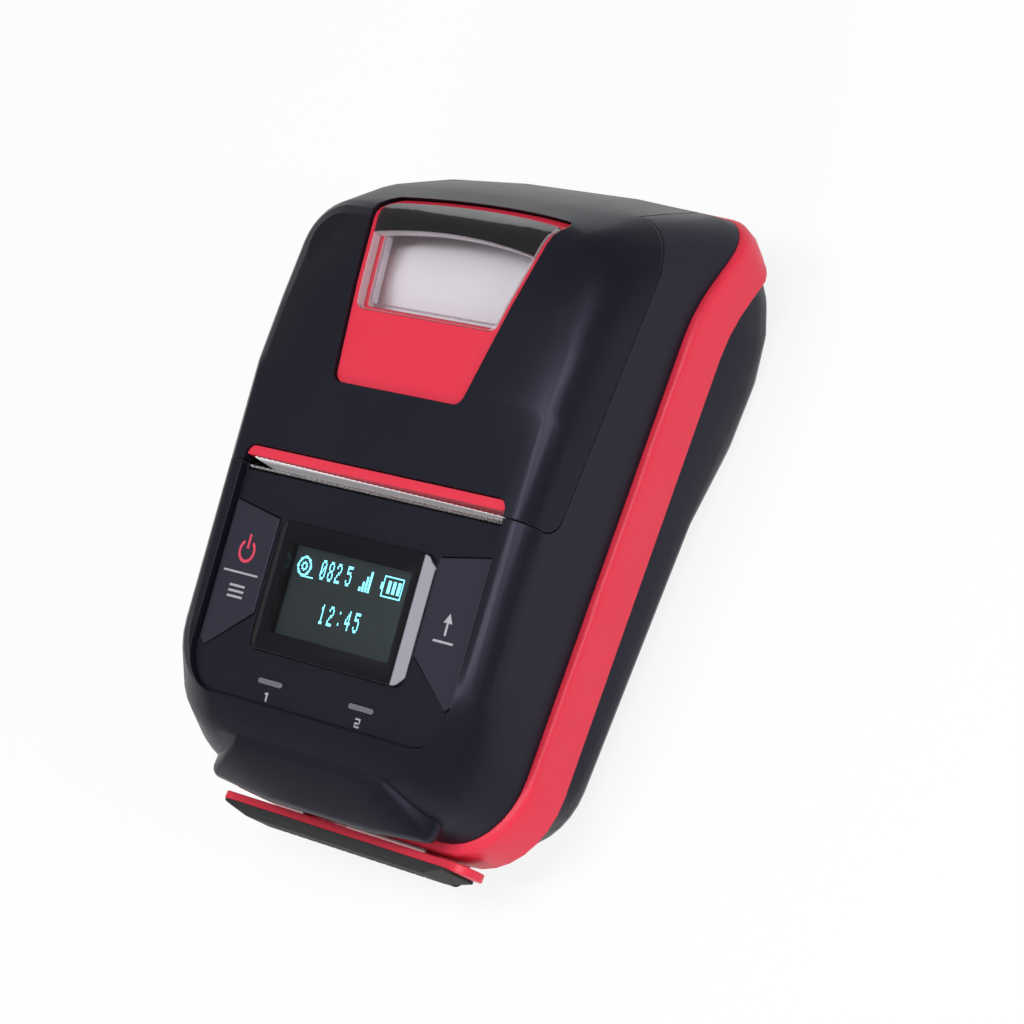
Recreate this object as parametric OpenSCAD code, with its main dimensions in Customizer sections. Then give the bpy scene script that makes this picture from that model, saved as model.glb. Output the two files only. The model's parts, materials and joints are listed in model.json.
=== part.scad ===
// Portable label and receipt printer with a drop-in paper roll.
// It lies on its back: X runs across, Y towards the roll end, Z out of the front.

/* [Body] */
// Room for mechanism and walls beside the paper, both sides together
side_room = 15.5; // [13.5:0.5:26.5]
// Distance from the origin to the bottom end wall
bottom_len = 52.2; // [51:0.5:60]
// Distance from the full roll to the roll end wall
end_room = 9.9; // [9.5:0.1:16.7]
// Thickness of the shell walls
wall = 2; // [1.6:0.1:2.4]
// Plan radius of the corners at the bottom end
bottom_r = 13; // [10:0.5:14]
// Plan radius of the corners at the roll end
roll_r = 9.5; // [8:0.5:11]
// Rounding of the front edges
edge_r = 4; // [3:0.5:5]
// Rounding of the rear edges
rear_r = 4; // [3.5:0.25:4.5]
// Height of the slot seam's side edge over the rest plane
seam_z = 31; // [30.5:0.1:32]
// Height of the lower rear lobe over the rest plane
lobe_step = 2; // [1:0.5:3]

/* [Panel] */
// Distance from the bottom end wall to the display centre
panel_from_end = 29.85; // [29:0.25:32]
// Height of the panel face at the display centre
panel_z = 34; // [33.5:0.25:35.5]
// Slope of the front face, degrees
panel_tilt = 8.8; // [7.5:0.1:9.5]
// Height of the rim over the panel
rim_h = 1.1; // [0.8:0.1:1.5]
// Distance of the recessed panel's side edge from the side wall's face
panel_side = 5.3; // [4.5:0.1:5.7]
// Half width of the display window
window_half = 18.8; // [18:0.1:19.2]
// Half height of the display window
window_rise = 10.6; // [10:0.1:11]
// Half width of the lit display area
lit_half = 14.7; // [13:0.1:15]
// Half height of the lit display area
lit_rise = 7.35; // [6.5:0.05:8]
// Distance of the two buttons from the panel's side edge
button_side = 0.8; // [0.6:0.1:1.7]
// Distance of each light from the middle
light_x = 11; // [9:0.5:13]
// Length of each light
light_len = 5.8; // [4:0.2:7]
// Travel of the two panel buttons
button_travel = 0.5; // [0.3:0.05:0.5]

/* [Band] */
// How far the band stands out from the side walls
band_out = 1.6; // [1:0.1:2]
// Height of the band
band_h = 8.2; // [7:0.1:9]
// Thickness of the band
band_t = 3.2; // [2.8:0.1:3.6]
// Height of the band's front edge under the display centre
band_z = 18.3; // [17.9:0.1:18.7]
// Rise of the band for each millimetre towards the roll
band_slope = 0.052; // [0.03:0.001:0.056]
// Rounding of the band's front edge
band_edge = 0.9; // [0.5:0.1:1.4]
// How strongly the band leans in at the roll end; larger is straighter
band_lean = 7; // [6:0.5:14]

/* [Cover] */
// Where the cover's front edge lies along Y
seam_y = -4; // [-4.5:0.1:-3.5]
// Room beside the paper in the slot, on each side
slot_side = 2.25; // [1.75:0.05:2.65]
// Distance of the cover's end wall from the side wall's face
tail_side = 9.5; // [9:0.1:10.5]
// Hinge axis along Y from the roll end wall
hinge_in = 5.5; // [5.3:0.1:5.8]
// Height of the hinge axis
hinge_z = 21; // [20.8:0.1:21.4]
// Diameter of the hinge pin
hinge_d = 2.4; // [2:0.1:2.6]
// Outer diameter of the hinge barrels
barrel_d = 5.6; // [5:0.1:6]
// Half width of the red insert at its lower edge
insert_half = 15.1; // [14:0.1:16.5]
// Where the insert's lower edge lies along Y
insert_y = 11.6; // [11:0.1:13]
// Where the insert's upper edge lies along Y
insert_end = 46; // [45:0.1:46.5]
// Side spread of the insert for each millimetre along Y
insert_spread = 0.19; // [0.15:0.01:0.2]

/* [Paper] */
// Width of the paper
paper_w = 57.5; // [56:0.5:58]
// Diameter of the full roll
roll_d = 30.6; // [24:0.2:30.6]
// Distance from the platen axis to the full roll
roll_room = 15.3; // [15.1:0.1:15.5]
// Roll axis above the rest plane
roll_z = 20; // [19.8:0.1:20.3]
// Outer diameter of the roll's core tube
core_d = 12.5; // [10:0.5:14]
// Thickness of the paper strip as drawn
strip_t = 0.2; // [0.2:0.05:0.3]

/* [Mechanism] */
// Platen axis along Y
platen_y = 1.4; // [1.2:0.1:1.6]
// Platen axis height
platen_z = 28.8; // [28.5:0.1:29]
// Diameter of the platen roller
platen_d = 9.2; // [8.8:0.1:9.4]
// Diameter of the platen shaft
shaft_d = 3.2; // [2.8:0.1:3.4]
// Gear module
gear_m = 0.4; // [0.38:0.01:0.4]
// Teeth on the motor pinion
pinion_n = 10; // [9:1:11]
// Teeth on the idler's large wheel
idler_big_n = 25; // [24:1:26]
// Teeth on the idler's small wheel
idler_small_n = 12; // [11:1:13]
// Teeth on the platen gear
platen_n = 24; // [23:1:24]
// Motor axis along Y
motor_y = 9; // [8.8:0.1:9.2]
// Motor axis height
motor_z = 17.5; // [17.3:0.1:17.7]
// Diameter of the motor can
motor_d = 12; // [11:0.25:12]
// Swing of the print head away from the platen, degrees
head_swing = 3; // [1:0.5:3]

/* [Battery] */
// Distance of the battery pack from the side wall's face
pack_side = 10.5; // [10.5:0.5:12.5]
// Length of the battery pack
pack_len = 43; // [38:0.5:43]
// Height of the battery pack
pack_h = 13; // [11:0.5:13]
// Travel of the battery latch
latch_travel = 1; // [0.9:0.05:1.1]

/* [Strap bail] */
// Distance of the bail's bar ends from the side wall's face
bail_side = 6.7; // [4.5:0.1:8]
// Distance of the bail's bar from the band
bail_gap = 0.7; // [0.5:0.1:1]
// Thickness of the bail's bar
bail_t = 1.4; // [1.2:0.1:2]
// Depth of the bail's bar
bail_h = 6; // [5:0.25:7]
// Distance of the grip pad's ends from the bar's ends
grip_side = 3.3; // [1.8:0.1:5.8]
// Thickness of the grip pad
grip_t = 1.8; // [1.2:0.1:2.4]
// Height of the bail's pivot
bail_pivot_z = 5.6; // [5.4:0.1:6]
// Distance of each bail arm from the middle
bail_arm_x = 15; // [12:0.5:20]

/* [Fits] */
// Gap between neighbouring shells
seam_gap = 0.2; // [0.15:0.05:0.3]
// Radial running clearance of pins and shafts
run_gap = 0.05; // [0.04:0.01:0.08]
// Clearance round a sliding piece
slide_gap = 0.25; // [0.2:0.05:0.3]

/* [Hidden] */

black = [0.13, 0.13, 0.16];
panel_black = [0.18, 0.18, 0.21];
red = [0.85, 0.2, 0.29];
steel = [0.72, 0.73, 0.75];
white = [0.93, 0.93, 0.95];
green = [0.05, 0.35, 0.2];

hull_fn = 32;
round_fn = 48;
big = 200;
half_w = (paper_w + side_room) / 2;
end_y = -bottom_len;
roll_y = platen_y + roll_room + roll_d / 2;
top_y = roll_y + roll_d / 2 + end_room;
panel_half = half_w - panel_side;
button_out = panel_half - button_side;
slot_half = paper_w / 2 + slot_side;
tail_half = half_w - tail_side;
pack_half = half_w - pack_side;
bail_half = half_w - bail_side;
grip_half = bail_half - grip_side;
panel_y = end_y + panel_from_end;
slope = tan(panel_tilt);
hinge_y = top_y - hinge_in;
band_half = half_w + band_out;

// Height of the panel plane at y
function plane_z(y) = panel_z + (y - panel_y) * slope;
// Height of the band's front edge: straight, then swept back round the roll end
sweep_y = top_y - 23.2;
sweep_run = 10;
sweep_r = 26;
sweep_fall = sweep_run / sweep_r;
function sweep(y) = let (s = max(0, y - sweep_y))
    s < sweep_run ? s * s / (2 * sweep_r) : sweep_run * sweep_fall / 2 + (s - sweep_run) * sweep_fall;
function band_top(y) = band_z + band_slope * (y - panel_y) - sweep(y);
function band_low(y) = band_top(y) - band_h;
band_ys = concat([end_y - 8, sweep_y], [for (k = [1:6]) sweep_y + k * sweep_run / 6], [top_y + 8]);

// A disc with a rounded upper rim, the building block of the smooth shells
module puck(r_out, r_edge, skirt, fn = hull_fn) {
    r = max(r_edge, 0.4);
    rotate_extrude($fn = fn)
        polygon(concat([[0, 0]],
            [for (k = [0:4]) [r_out - r + r * sin(k * 22.5), r * cos(k * 22.5) - r]],
            [[r_out, -r - skirt], [0, -r - skirt]]));
}

// The cover's end seen from the side: [distance in from the end wall, z, bow at mid width]
cover_path = [[13.7, 37.3, 0.3], [7.7, 30.3, 0.5], [4.4, 24.3, 0.8], [1.2, 17.6, 1], [0, 12.5, 1]];
cover_top = 41.3;
skirt_z = 4;
low_r = roll_r - 3;

// Pucks of the cover's end and top, drawn inward by inset
module cover_pucks(inset, fn) {
    r = edge_r - inset;
    for (s = [-1, 1]) {
        for (p = [[13, plane_z(13) + rim_h], [24, cover_top - 0.2]])
            translate([s * (half_w - edge_r), p[0], p[1] - inset])
                puck(r, r, 0, fn);
        for (p = cover_path) {
            plan_r = p[1] < 20 ? low_r : roll_r;
            for (m = [0, 1])
                translate([s * (m == 0 ? half_w - plan_r : 13), top_y - p[0] - plan_r + m * p[2],
                    p[1] + edge_r - inset])
                    puck(plan_r - inset, r, p[1] < 14 ? skirt_z + 4 : 0, m == 0 ? fn : 12);
        }
    }
}

// The cover's smooth form alone
module cover_form(inset, fn = hull_fn) {
    hull() {
        cover_pucks(inset, fn);
        for (s = [-1, 1])
            translate([s * (half_w - edge_r), -12, plane_z(-12) + rim_h - inset])
                puck(edge_r - inset, edge_r - inset, 12, 12);
    }
}

// Bottom end seen from the side: [distance in from the end wall, z]
bottom_path = [[4, 31.2], [1.2, 27]];

// The whole smooth front form, drawn inward by inset
module front_form(inset, fn = hull_fn) {
    r = edge_r - inset;
    hull() {
        cover_pucks(inset, fn);
        for (s = [-1, 1]) {
            translate([s * (half_w - bottom_r), end_y + bottom_r, 20 - inset])
                puck(bottom_r - inset, r, skirt_z + 8, fn);
            for (p = concat([[7.9, plane_z(end_y + bottom_r + 7.9) + rim_h]], bottom_path))
                translate([s * (half_w - bottom_r), end_y + bottom_r + p[0], p[1] - inset])
                    rotate([panel_tilt, 0, 0])
                        puck(bottom_r - inset, r, 0, fn);
        }
    }
}

// The smooth rear form: a lower lobe, and a deeper lobe that curves up behind the roll
rear_path = [[25.7, 0], [19.2, 1.4], [15.7, 3.4], [13.2, 6.2]];
module rear_form(inset, fn = hull_fn) {
    r = rear_r - inset;
    mirror([0, 0, 1])
        union() {
            hull()
                for (s = [-1, 1]) {
                    translate([s * (half_w - bottom_r), end_y + bottom_r, -lobe_step - 5 - inset])
                        puck(bottom_r - inset, r, 14, fn);
                    translate([s * (half_w - bottom_r), end_y + bottom_r + 3, -lobe_step - inset])
                        puck(bottom_r - inset, r, 10, fn);
                    translate([s * (half_w - roll_r), 14, -lobe_step - inset])
                        puck(roll_r - inset, r, 20, fn);
                }
            hull()
                for (s = [-1, 1]) {
                    translate([s * (half_w - roll_r), 10, -lobe_step - inset])
                        puck(roll_r - inset, r, 20, fn);
                    translate([s * (half_w - roll_r), 24, -inset])
                        puck(roll_r - inset, r, 14, fn);
                    for (p = rear_path)
                        translate([s * (half_w - low_r), top_y - p[0] + roll_r - low_r, -p[1] - inset])
                            puck(low_r - inset, r, p[1] > 6 ? 12 : 0, fn);
                }
        }
}

// A side outline of [y, z] points carried across the width
module across(w) {
    rotate([90, 0, 90])
        linear_extrude(w, center = true)
            children();
}

// A box given by its two corners
module span(a, b) {
    translate(a)
        cube(b - a);
}

// A rod along X from x0 to x1
module rod(d, x0, x1, y, z) {
    translate([x0, y, z])
        rotate([0, 90, 0])
            cylinder(d = d, h = x1 - x0, $fn = round_fn);
}

// The panel's own frame: its origin is the display centre, its Z leaves the face
module on_panel() {
    translate([0, panel_y, panel_z])
        rotate([panel_tilt, 0, 0])
            children();
}

// A box in the panel's frame, centred in X
module panel_box(half, y0, y1, z0, z1) {
    on_panel()
        span([-half, y0, z0], [half, y1, z1]);
}

// Plan outline of the body with its own corner radius at each end
module plan(half, y0, y1, r0, r1) {
    for (s = [-1, 1]) {
        translate([s * (half - r0), y0 + r0])
            circle(r0, $fn = 96);
        translate([s * (half - r1), y1 - r1])
            circle(r1, $fn = 96);
    }
    translate([-half, y0 + r0])
        square([2 * half, y1 - r1 - y0 - r0]);
    translate([-half + r0, y0])
        square([2 * (half - r0), y1 - y0 - r1]);
    translate([-half + r1, y0 + r0])
        square([2 * (half - r1), y1 - y0 - r0]);
}

// Everything in front of a line drop below the band's front edge, and everything behind it
module over_line(drop) {
    across(big)
        polygon(concat([for (y = band_ys) [y, band_top(y) - drop]], [[top_y + 8, 60], [end_y - 8, 60]]));
}

module under_line(drop) {
    across(big)
        polygon(concat([for (y = band_ys) [y, band_top(y) - drop]], [[top_y + 8, -20], [end_y - 8, -20]]));
}

// Screw posts: the lower pair and the pair beside the roll
post_d = 4.2;
screw_d = 2;
post_xy = [[half_w - wall - post_d / 2 - 2.6, end_y + 12.6],
    [half_w - wall - post_d / 2 + 0.25, top_y - 15.7]];
post_joint = 15;
module at_posts() {
    for (s = [-1, 1])
        for (p = post_xy)
            translate([s * p[0], p[1], 0])
                children();
}

// Trapezoid outline of a panel button; pad grows it on every side
module button_outline(pad) {
    inner = window_half + 0.55 - pad;
    outer = button_out + pad;
    polygon([[inner, window_rise + pad], [outer, window_rise + 1.7 + pad],
        [outer, -window_rise - 0.6 - pad], [outer - 1.2 - pad / 2, -window_rise - 1.6 - pad],
        [inner, -5.1 - pad]]);
}

// Rounded rectangle centred at the origin
module rounded_rect(w, h, r) {
    for (sx = [-1, 1])
        for (sy = [-1, 1])
            translate([sx * (w / 2 - r), sy * (h / 2 - r)])
                circle(r, $fn = 32);
    square([w, h - 2 * r], center = true);
    square([w - 2 * r, h], center = true);
}

// Pill outline of a light
module pill(len, width) {
    square([len - width, width], center = true);
    for (s = [-1, 1])
        translate([s * (len - width) / 2, 0])
            circle(d = width, $fn = 24);
}

light_y = -window_rise - 4.7;
light_w = 0.9;
window_t = 1.2;
switch_x = button_out - 4.9;
switch_y = 2;
board_z = -6.2;
board_t = 1.4;
panel_low = -19.3;

// Tongue corners: [half width, distance out from the end wall, z]
tongue = [[17.2, 5.2, 26.6], [12.4, -0.5, 21.6], [24.9, 0.6, 21.6], [24.9, 3.5, 21.6], [21.3, 5.4, 23.6]];
tongue_r = 1.8;

// Edge of the cover's end wall, and the room it sweeps as the cover opens
tail_low = hinge_z - 2;
tail_z = tail_low - 1.6;
tail_sweep = 2 * norm([hinge_in + 1, 2]) + 0.4;
module front_shell() {
    color(black)
        difference() {
            union() {
                difference() {
                    front_form(0);
                    difference() {
                        front_form(wall, 16);
                        // solid corner posts that hold the hinge pin
                        for (s = [-1, 1])
                            translate([s * (tail_half + 0.4 + 10), top_y - 9.5 + 15, 15])
                                cube([20, 30, 80], center = true);
                    }
                }
                // tongue on the bottom end, proud of the band
                hull()
                    for (s = [-1, 1])
                        for (p = tongue)
                            translate([s * p[0], end_y + p[1], p[2]])
                                sphere(tongue_r, $fn = 24);
                // screw posts
                intersection() {
                    front_form(1, 16);
                    at_posts()
                        translate([0, 0, post_joint])
                            cylinder(d = post_d, h = 22, $fn = round_fn);
                }
                // posts under the control board
                intersection() {
                    front_form(1, 16);
                    on_panel()
                        for (p = control_screw_at)
                            translate([p[0], p[1], board_z + board_t])
                                cylinder(d = 3.4, h = 6, $fn = round_fn);
                }
            }
            // everything that belongs to the cover
            cover_room(0);
            span([-tail_half - 0.4, top_y - 17, tail_z], [tail_half + 0.4, top_y + 9, 60]);
            rod(tail_sweep, -tail_half - 0.4, tail_half + 0.4, hinge_y, hinge_z);
            // everything under the band's front edge, but not the screw posts
            difference() {
                under_line(0);
                at_posts()
                    translate([0, 0, post_joint])
                        cylinder(d = post_d, h = 22, $fn = round_fn);
            }
            // recessed panel and its groove
            on_panel() {
                linear_extrude(10)
                    plan(panel_half, panel_low, 40, 7.5, 1);
                difference() {
                    translate([0, 0, -0.4])
                        linear_extrude(1)
                            plan(panel_half, panel_low, 40, 7.5, 1);
                    translate([0, 0, -1])
                        linear_extrude(3)
                            plan(panel_half - 0.45, panel_low + 0.45, 50, 7.05, 1);
                }
                // window pocket and its opening
                translate([0, 0, -window_t])
                    linear_extrude(10)
                        rounded_rect(2 * window_half + 0.2, 2 * window_rise + 0.2, 2.4);
                span([-lit_half - 1.2, -lit_rise - 1.2, -5], [lit_half + 1.2, lit_rise + 1.2, 1]);
                // button openings
                for (s = [0, 1])
                    mirror([s, 0, 0])
                        translate([0, 0, -5])
                            linear_extrude(8)
                                button_outline(0.2);
                // light openings
                for (s = [-1, 1])
                    translate([s * light_x, light_y, -5])
                        linear_extrude(8)
                            pill(light_len + 0.1, light_w + 0.1);
            }
            // slot side of the panel, cut back to the tear bar
            span([-slot_half, seam_y - tear_t - 0.6, 20], [slot_half, seam_y + 1, 60]);
            // hinge pin bores, screw bores and side openings
            rod(hinge_d + 2 * run_gap, -half_w + 3.4, half_w - 3.4, hinge_y, hinge_z);
            at_posts()
                translate([0, 0, post_joint - 1])
                    cylinder(d = screw_d, h = 9, $fn = round_fn);
            on_panel()
                for (p = control_screw_at)
                    translate([p[0], p[1], board_z])
                        cylinder(d = 1.6, h = 4, $fn = round_fn);
            release_opening();
            port_openings();
        }
}

// Screws that hold the control board, in the panel's frame
control_screw_at = [[-21.5, -17], [21.5, -17], [-16, 11.6], [16, 11.6]];

// Release button: place, size and travel
release_y = [12, 22];
release_z = [24, 28.8];
release_travel = 1.2;
module release_opening() {
    span([-half_w - 2, release_y[0] - slide_gap, release_z[0] - slide_gap],
        [-half_w + 3, release_y[1] + slide_gap, release_z[1] + slide_gap]);
}

// Ports on the left side: place and size
port_y = [-32, -14];
port_z = [21.6, 27.6];
port_depth = 1;
usb_y = -19.5;
jack_y = -27;
port_mid = (port_z[0] + port_z[1]) / 2;
module port_openings() {
    span([-half_w - 2, port_y[0], port_z[0]], [-half_w + port_depth, port_y[1], port_z[1]]);
    span([-half_w - 2, usb_y - 4.6, port_mid - 1.75], [-half_w + 4, usb_y + 4.6, port_mid + 1.75]);
    rod(5.2, -half_w - 2, -half_w + 4, jack_y, port_mid);
}

bay_y0 = end_y + 5;
bay_y1 = bay_y0 + pack_len + 0.8;
bay_roof = pack_h + 0.4;
roof_t = 1.2;
deck_z = bay_roof + roof_t;

module rear_shell() {
    color(black)
        difference() {
            union() {
                difference() {
                    rear_form(0);
                    rear_form(wall, 16);
                    // everything over the band's rear edge
                    over_line(band_h);
                }
                // battery bay walls and roof
                span([-pack_half - 1.6, bay_y0 - 1.2, lobe_step + 0.5],
                    [pack_half + 1.6, bay_y1 + 1.2, deck_z]);
                // screw posts
                intersection() {
                    rear_form(1, 16);
                    at_posts()
                        cylinder(d = post_d, h = post_joint, $fn = round_fn);
                }
                // lugs that carry the bail
                bail_lugs();
                // board posts on the bay roof
                for (p = board_screw_at)
                    translate([p[0], p[1], deck_z - 0.1])
                        cylinder(d = 3.2, h = 1.1, $fn = round_fn);
            }
            // the bay itself and the finger notch of the latch
            span([-pack_half - 0.4, bay_y0, -5], [pack_half + 0.4, bay_y1, bay_roof]);
            latch_room();
            // screw heads and shanks
            at_posts() {
                translate([0, 0, -1])
                    cylinder(d = 4, h = 7, $fn = round_fn);
                cylinder(d = screw_d + 0.3, h = 30, $fn = round_fn);
            }
            for (p = board_screw_at)
                translate([p[0], p[1], bay_roof + 0.4])
                    cylinder(d = 1.4, h = 6, $fn = round_fn);
            // contact block opening in the bay's end wall
            span([-8.1, bay_y1 - 1, 4.9], [8.1, bay_y1 + 3, 9.1]);
            rod(bail_pin_d, -bail_arm_x - 8, bail_arm_x + 8, bail_y, bail_pivot_z);
        }
}

board_half = post_xy[0][0] - post_d / 2 - 1.3;
board_screw_x = board_half - 2.4;
board_screw_at = [for (s = [-1, 1]) for (y = [end_y + 10, -17]) [s * board_screw_x, y]];

// Band outline in plan, right half from the bottom middle to the roll middle: [x, y, normal]
band_r0 = bottom_r + band_out;
band_r1 = roll_r - 1.5;
band_bow = 400;
band_side = band_half - band_r1;
band_y0 = end_y - band_out + 0.2;
band_y1 = top_y + 1 - band_side * band_side / (2 * band_bow);
band_right = concat([[0, band_y0, -90]],
    [for (k = [0:8]) [band_half - band_r0 + band_r0 * sin(k * 11.25),
        band_y0 + band_r0 - band_r0 * cos(k * 11.25), k * 11.25 - 90]],
    [for (y = concat([-10, 15], [for (k = [0:3]) sweep_y + 4 * k])) [band_half, y, 0]],
    [for (k = [0:8]) [band_side + band_r1 * cos(k * 10.75),
        band_y1 - band_r1 + band_r1 * sin(k * 10.75), k * 10.75]],
    [for (x = [20, 10]) [x, top_y + 1 - x * x / (2 * band_bow), 90 - x / 7]],
    [[0, top_y + 1, 90]]);
band_n = len(band_right);
band_loop = concat(band_right, [for (k = [2:band_n - 1])
    let (p = band_right[band_n - k]) [-p[0], p[1], 180 - p[2]]]);
// Section of the band: [out from its inner face, depth below its front edge]
band_section = concat([[0, 0]],
    [for (k = [0:3]) [band_t - band_edge + band_edge * sin(k * 30), band_edge - band_edge * cos(k * 30)]],
    [[band_t, band_h * 0.45], [band_t, band_h * 0.75], [band_t, band_h - 0.4], [band_t - 0.4, band_h],
        [0, band_h], [0, band_h * 0.6]]);
// Lean of the band at the roll end for a given depth
function lean(p, d) = max(0, sin(p[2])) * pow(max(0, d - 1), 2) / (2 * band_lean);
function band_point(p, q) =
    let (out = q[0] - band_t - (p[1] > 0 ? lean(p, q[1]) : 0), y = p[1] + out * sin(p[2]))
    [p[0] + out * cos(p[2]), y, band_top(y) - 0.1 - q[1] * (band_h - 0.2) / band_h];

module bumper_band() {
    m = len(band_section);
    n = len(band_loop);
    color(red)
        polyhedron([for (p = band_loop) for (q = band_section) band_point(p, q)],
            [for (i = [0:n - 1]) for (k = [0:m - 1])
                let (a = i * m + k, b = i * m + (k + 1) % m, c = ((i + 1) % n) * m + (k + 1) % m,
                    d = ((i + 1) % n) * m + k)
                    each [[a, c, b], [a, d, c]]]);
}

// Black glossy window over the display, with a sloping facet along each side
facet_w = 2.3;
module display_window() {
    color([0.05, 0.05, 0.08])
        on_panel() {
            translate([0, 0, -window_t + 0.02])
                linear_extrude(window_t)
                    rounded_rect(2 * window_half, 2 * window_rise, 2.3);
            intersection() {
                linear_extrude(2)
                    rounded_rect(2 * window_half, 2 * window_rise, 2.3);
                rotate([90, 0, 0])
                    linear_extrude(4 * window_rise, center = true)
                        polygon([[-window_half, 0], [-window_half + facet_w, 0.8],
                            [window_half - facet_w, 0.8], [window_half, 0]]);
            }
        }
}

display_gap = 0.9;
module display_module() {
    color([0.2, 0.22, 0.22]) {
        panel_box(lit_half + 1, -lit_rise - 1, lit_rise + 1, -window_t - display_gap - 0.1, -window_t - 0.1);
        panel_box(lit_half + 2.6, -lit_rise - 3, lit_rise + 2, board_z + board_t,
            -window_t - display_gap - 0.1);
    }
}

module control_board() {
    color(green)
        difference() {
            union() {
                panel_box(panel_half - 3.7, -18.6, 13, board_z, board_z + board_t);
                // parts soldered under the board
                panel_box(5, -10, 0, board_z - 1.6, board_z);
            }
            on_panel()
                for (p = control_screw_at)
                    translate([p[0], p[1], board_z - 1])
                        cylinder(d = 1.8, h = 4, $fn = round_fn);
        }
}

// Dome switches under the two buttons
switch_h = 1.25;
module tact_switches() {
    color(steel)
        on_panel()
            for (s = [-1, 1])
                translate([s * switch_x, switch_y, board_z + board_t]) {
                    span([-2.2, -2.2, 0], [2, 2.2, 1]);
                    cylinder(d = 2, h = switch_h, $fn = round_fn);
                }
}

// One cap with its flange; side -1 is the left one
cap_proud = 0.25;
flange_z = -wall - 0.15;
flange_t = 0.8;
module button_cap(side) {
    on_panel()
        mirror([side < 0 ? 1 : 0, 0, 0]) {
            translate([0, 0, flange_z])
                linear_extrude(cap_proud - flange_z)
                    button_outline(0);
            translate([0, 0, flange_z - flange_t])
                linear_extrude(flange_t)
                    button_outline(0.7);
        }
}

module mode_button() {
    color(panel_black)
        button_cap(-1);
}

module feed_button() {
    color(panel_black)
        button_cap(1);
}

// One light pipe: a pill through the panel, a flange below it, a lamp on the board
module light_pipe(side) {
    on_panel()
        translate([side * light_x, light_y, 0]) {
            translate([0, 0, -wall - 0.1])
                linear_extrude(wall + 0.25)
                    pill(light_len, light_w);
            translate([0, 0, -wall - 1.1])
                linear_extrude(1)
                    pill(light_len + 0.8, light_w + 0.8);
            span([-1, -0.8, board_z + board_t], [1, 0.8, -wall - 1.1]);
        }
}

module power_light_pipe() {
    color([0.5, 0.5, 0.55])
        light_pipe(-1);
}

module error_light_pipe() {
    color([0.5, 0.5, 0.55])
        light_pipe(1);
}

main_z = deck_z + 1;
main_t = 1.2;
main_y0 = end_y + 6;
main_y1 = -14;
module main_board() {
    color(green)
        difference() {
            union() {
                span([-board_half, main_y0, main_z], [board_half, main_y1, main_z + main_t]);
                // processor, memory, radio module and power parts
                for (c = [[-14, -34, 5, 5, 1.2], [-2, -36, 4, 3, 1], [9, -33, 6, 4, 1.6],
                        [-15, -22, 3, 4, 1], [18.6, -25, 3, 3, 2.6], [-3, -22, 4, 2, 0.8]])
                    span([c[0] - c[2], c[1] - c[3], main_z + main_t], [c[0] + c[2], c[1] + c[3],
                        main_z + main_t + c[4]]);
            }
            for (p = board_screw_at)
                translate([p[0], p[1], main_z - 1])
                    cylinder(d = 1.8, h = 4, $fn = round_fn);
        }
}

module buzzer() {
    color([0.08, 0.08, 0.08])
        translate([6, -20, main_z + main_t])
            difference() {
                cylinder(d = 7.5, h = 2.6, $fn = round_fn);
                translate([0, 0, 1.6])
                    cylinder(d = 1.6, h = 2, $fn = round_fn);
            }
}

// Ribbon between the two boards
cable_y = end_y + 8;
cable_t = 0.3;
module board_cable() {
    color([0.85, 0.85, 0.8])
        span([4, cable_y, main_z + main_t], [16, cable_y + cable_t, plane_z(cable_y) + board_z - 0.25]);
}

port_in = 7.2;
module usb_port() {
    color(steel)
        difference() {
            span([-half_w + 1.4, usb_y - 4.45, port_mid - 1.6],
                [-half_w + 1.4 + port_in, usb_y + 4.45, port_mid + 1.6]);
            span([-half_w, usb_y - 3.9, port_mid - 1.1], [-half_w + port_in, usb_y + 3.9, port_mid + 1.1]);
            panel_box(40, -40, 40, board_z - 0.02, 10);
        }
}

module charge_jack() {
    color([0.08, 0.08, 0.09])
        difference() {
            union() {
                rod(5, -half_w + 1.4, -half_w + 5, jack_y, port_mid);
                span([-half_w + wall + 0.1, jack_y - 3, port_mid - 2.9], [-half_w + 3 + port_in, jack_y + 3,
                    plane_z(jack_y) + 2 * board_z / 3]);
            }
            rod(3.4, -half_w, -half_w + port_in, jack_y, port_mid);
            panel_box(40, -40, 40, board_z - 0.02, 10);
        }
}

// Rubber flap over the ports, bending at a rib along its lower edge
port_hinge_x = -half_w + 0.5;
port_hinge_z = port_z[0] + 0.7;
module port_cover() {
    color([0.1, 0.1, 0.1]) {
        span([-half_w + 0.05, port_y[0] + slide_gap, port_z[0] + 0.9],
            [-half_w + port_depth - 0.05, port_y[1] - slide_gap, port_z[1] - slide_gap]);
        rotate([-90, 0, 0])
            translate([port_hinge_x, -port_hinge_z, port_y[0] + slide_gap])
                cylinder(d = 0.8, h = port_y[1] - port_y[0] - 2 * slide_gap, $fn = 24);
        // finger lip
        span([-half_w - 0.5, (port_y[0] + port_y[1]) / 2 - 3, port_z[1] - 1.2],
            [-half_w + 0.1, (port_y[0] + port_y[1]) / 2 + 3, port_z[1] - slide_gap]);
    }
}

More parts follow.
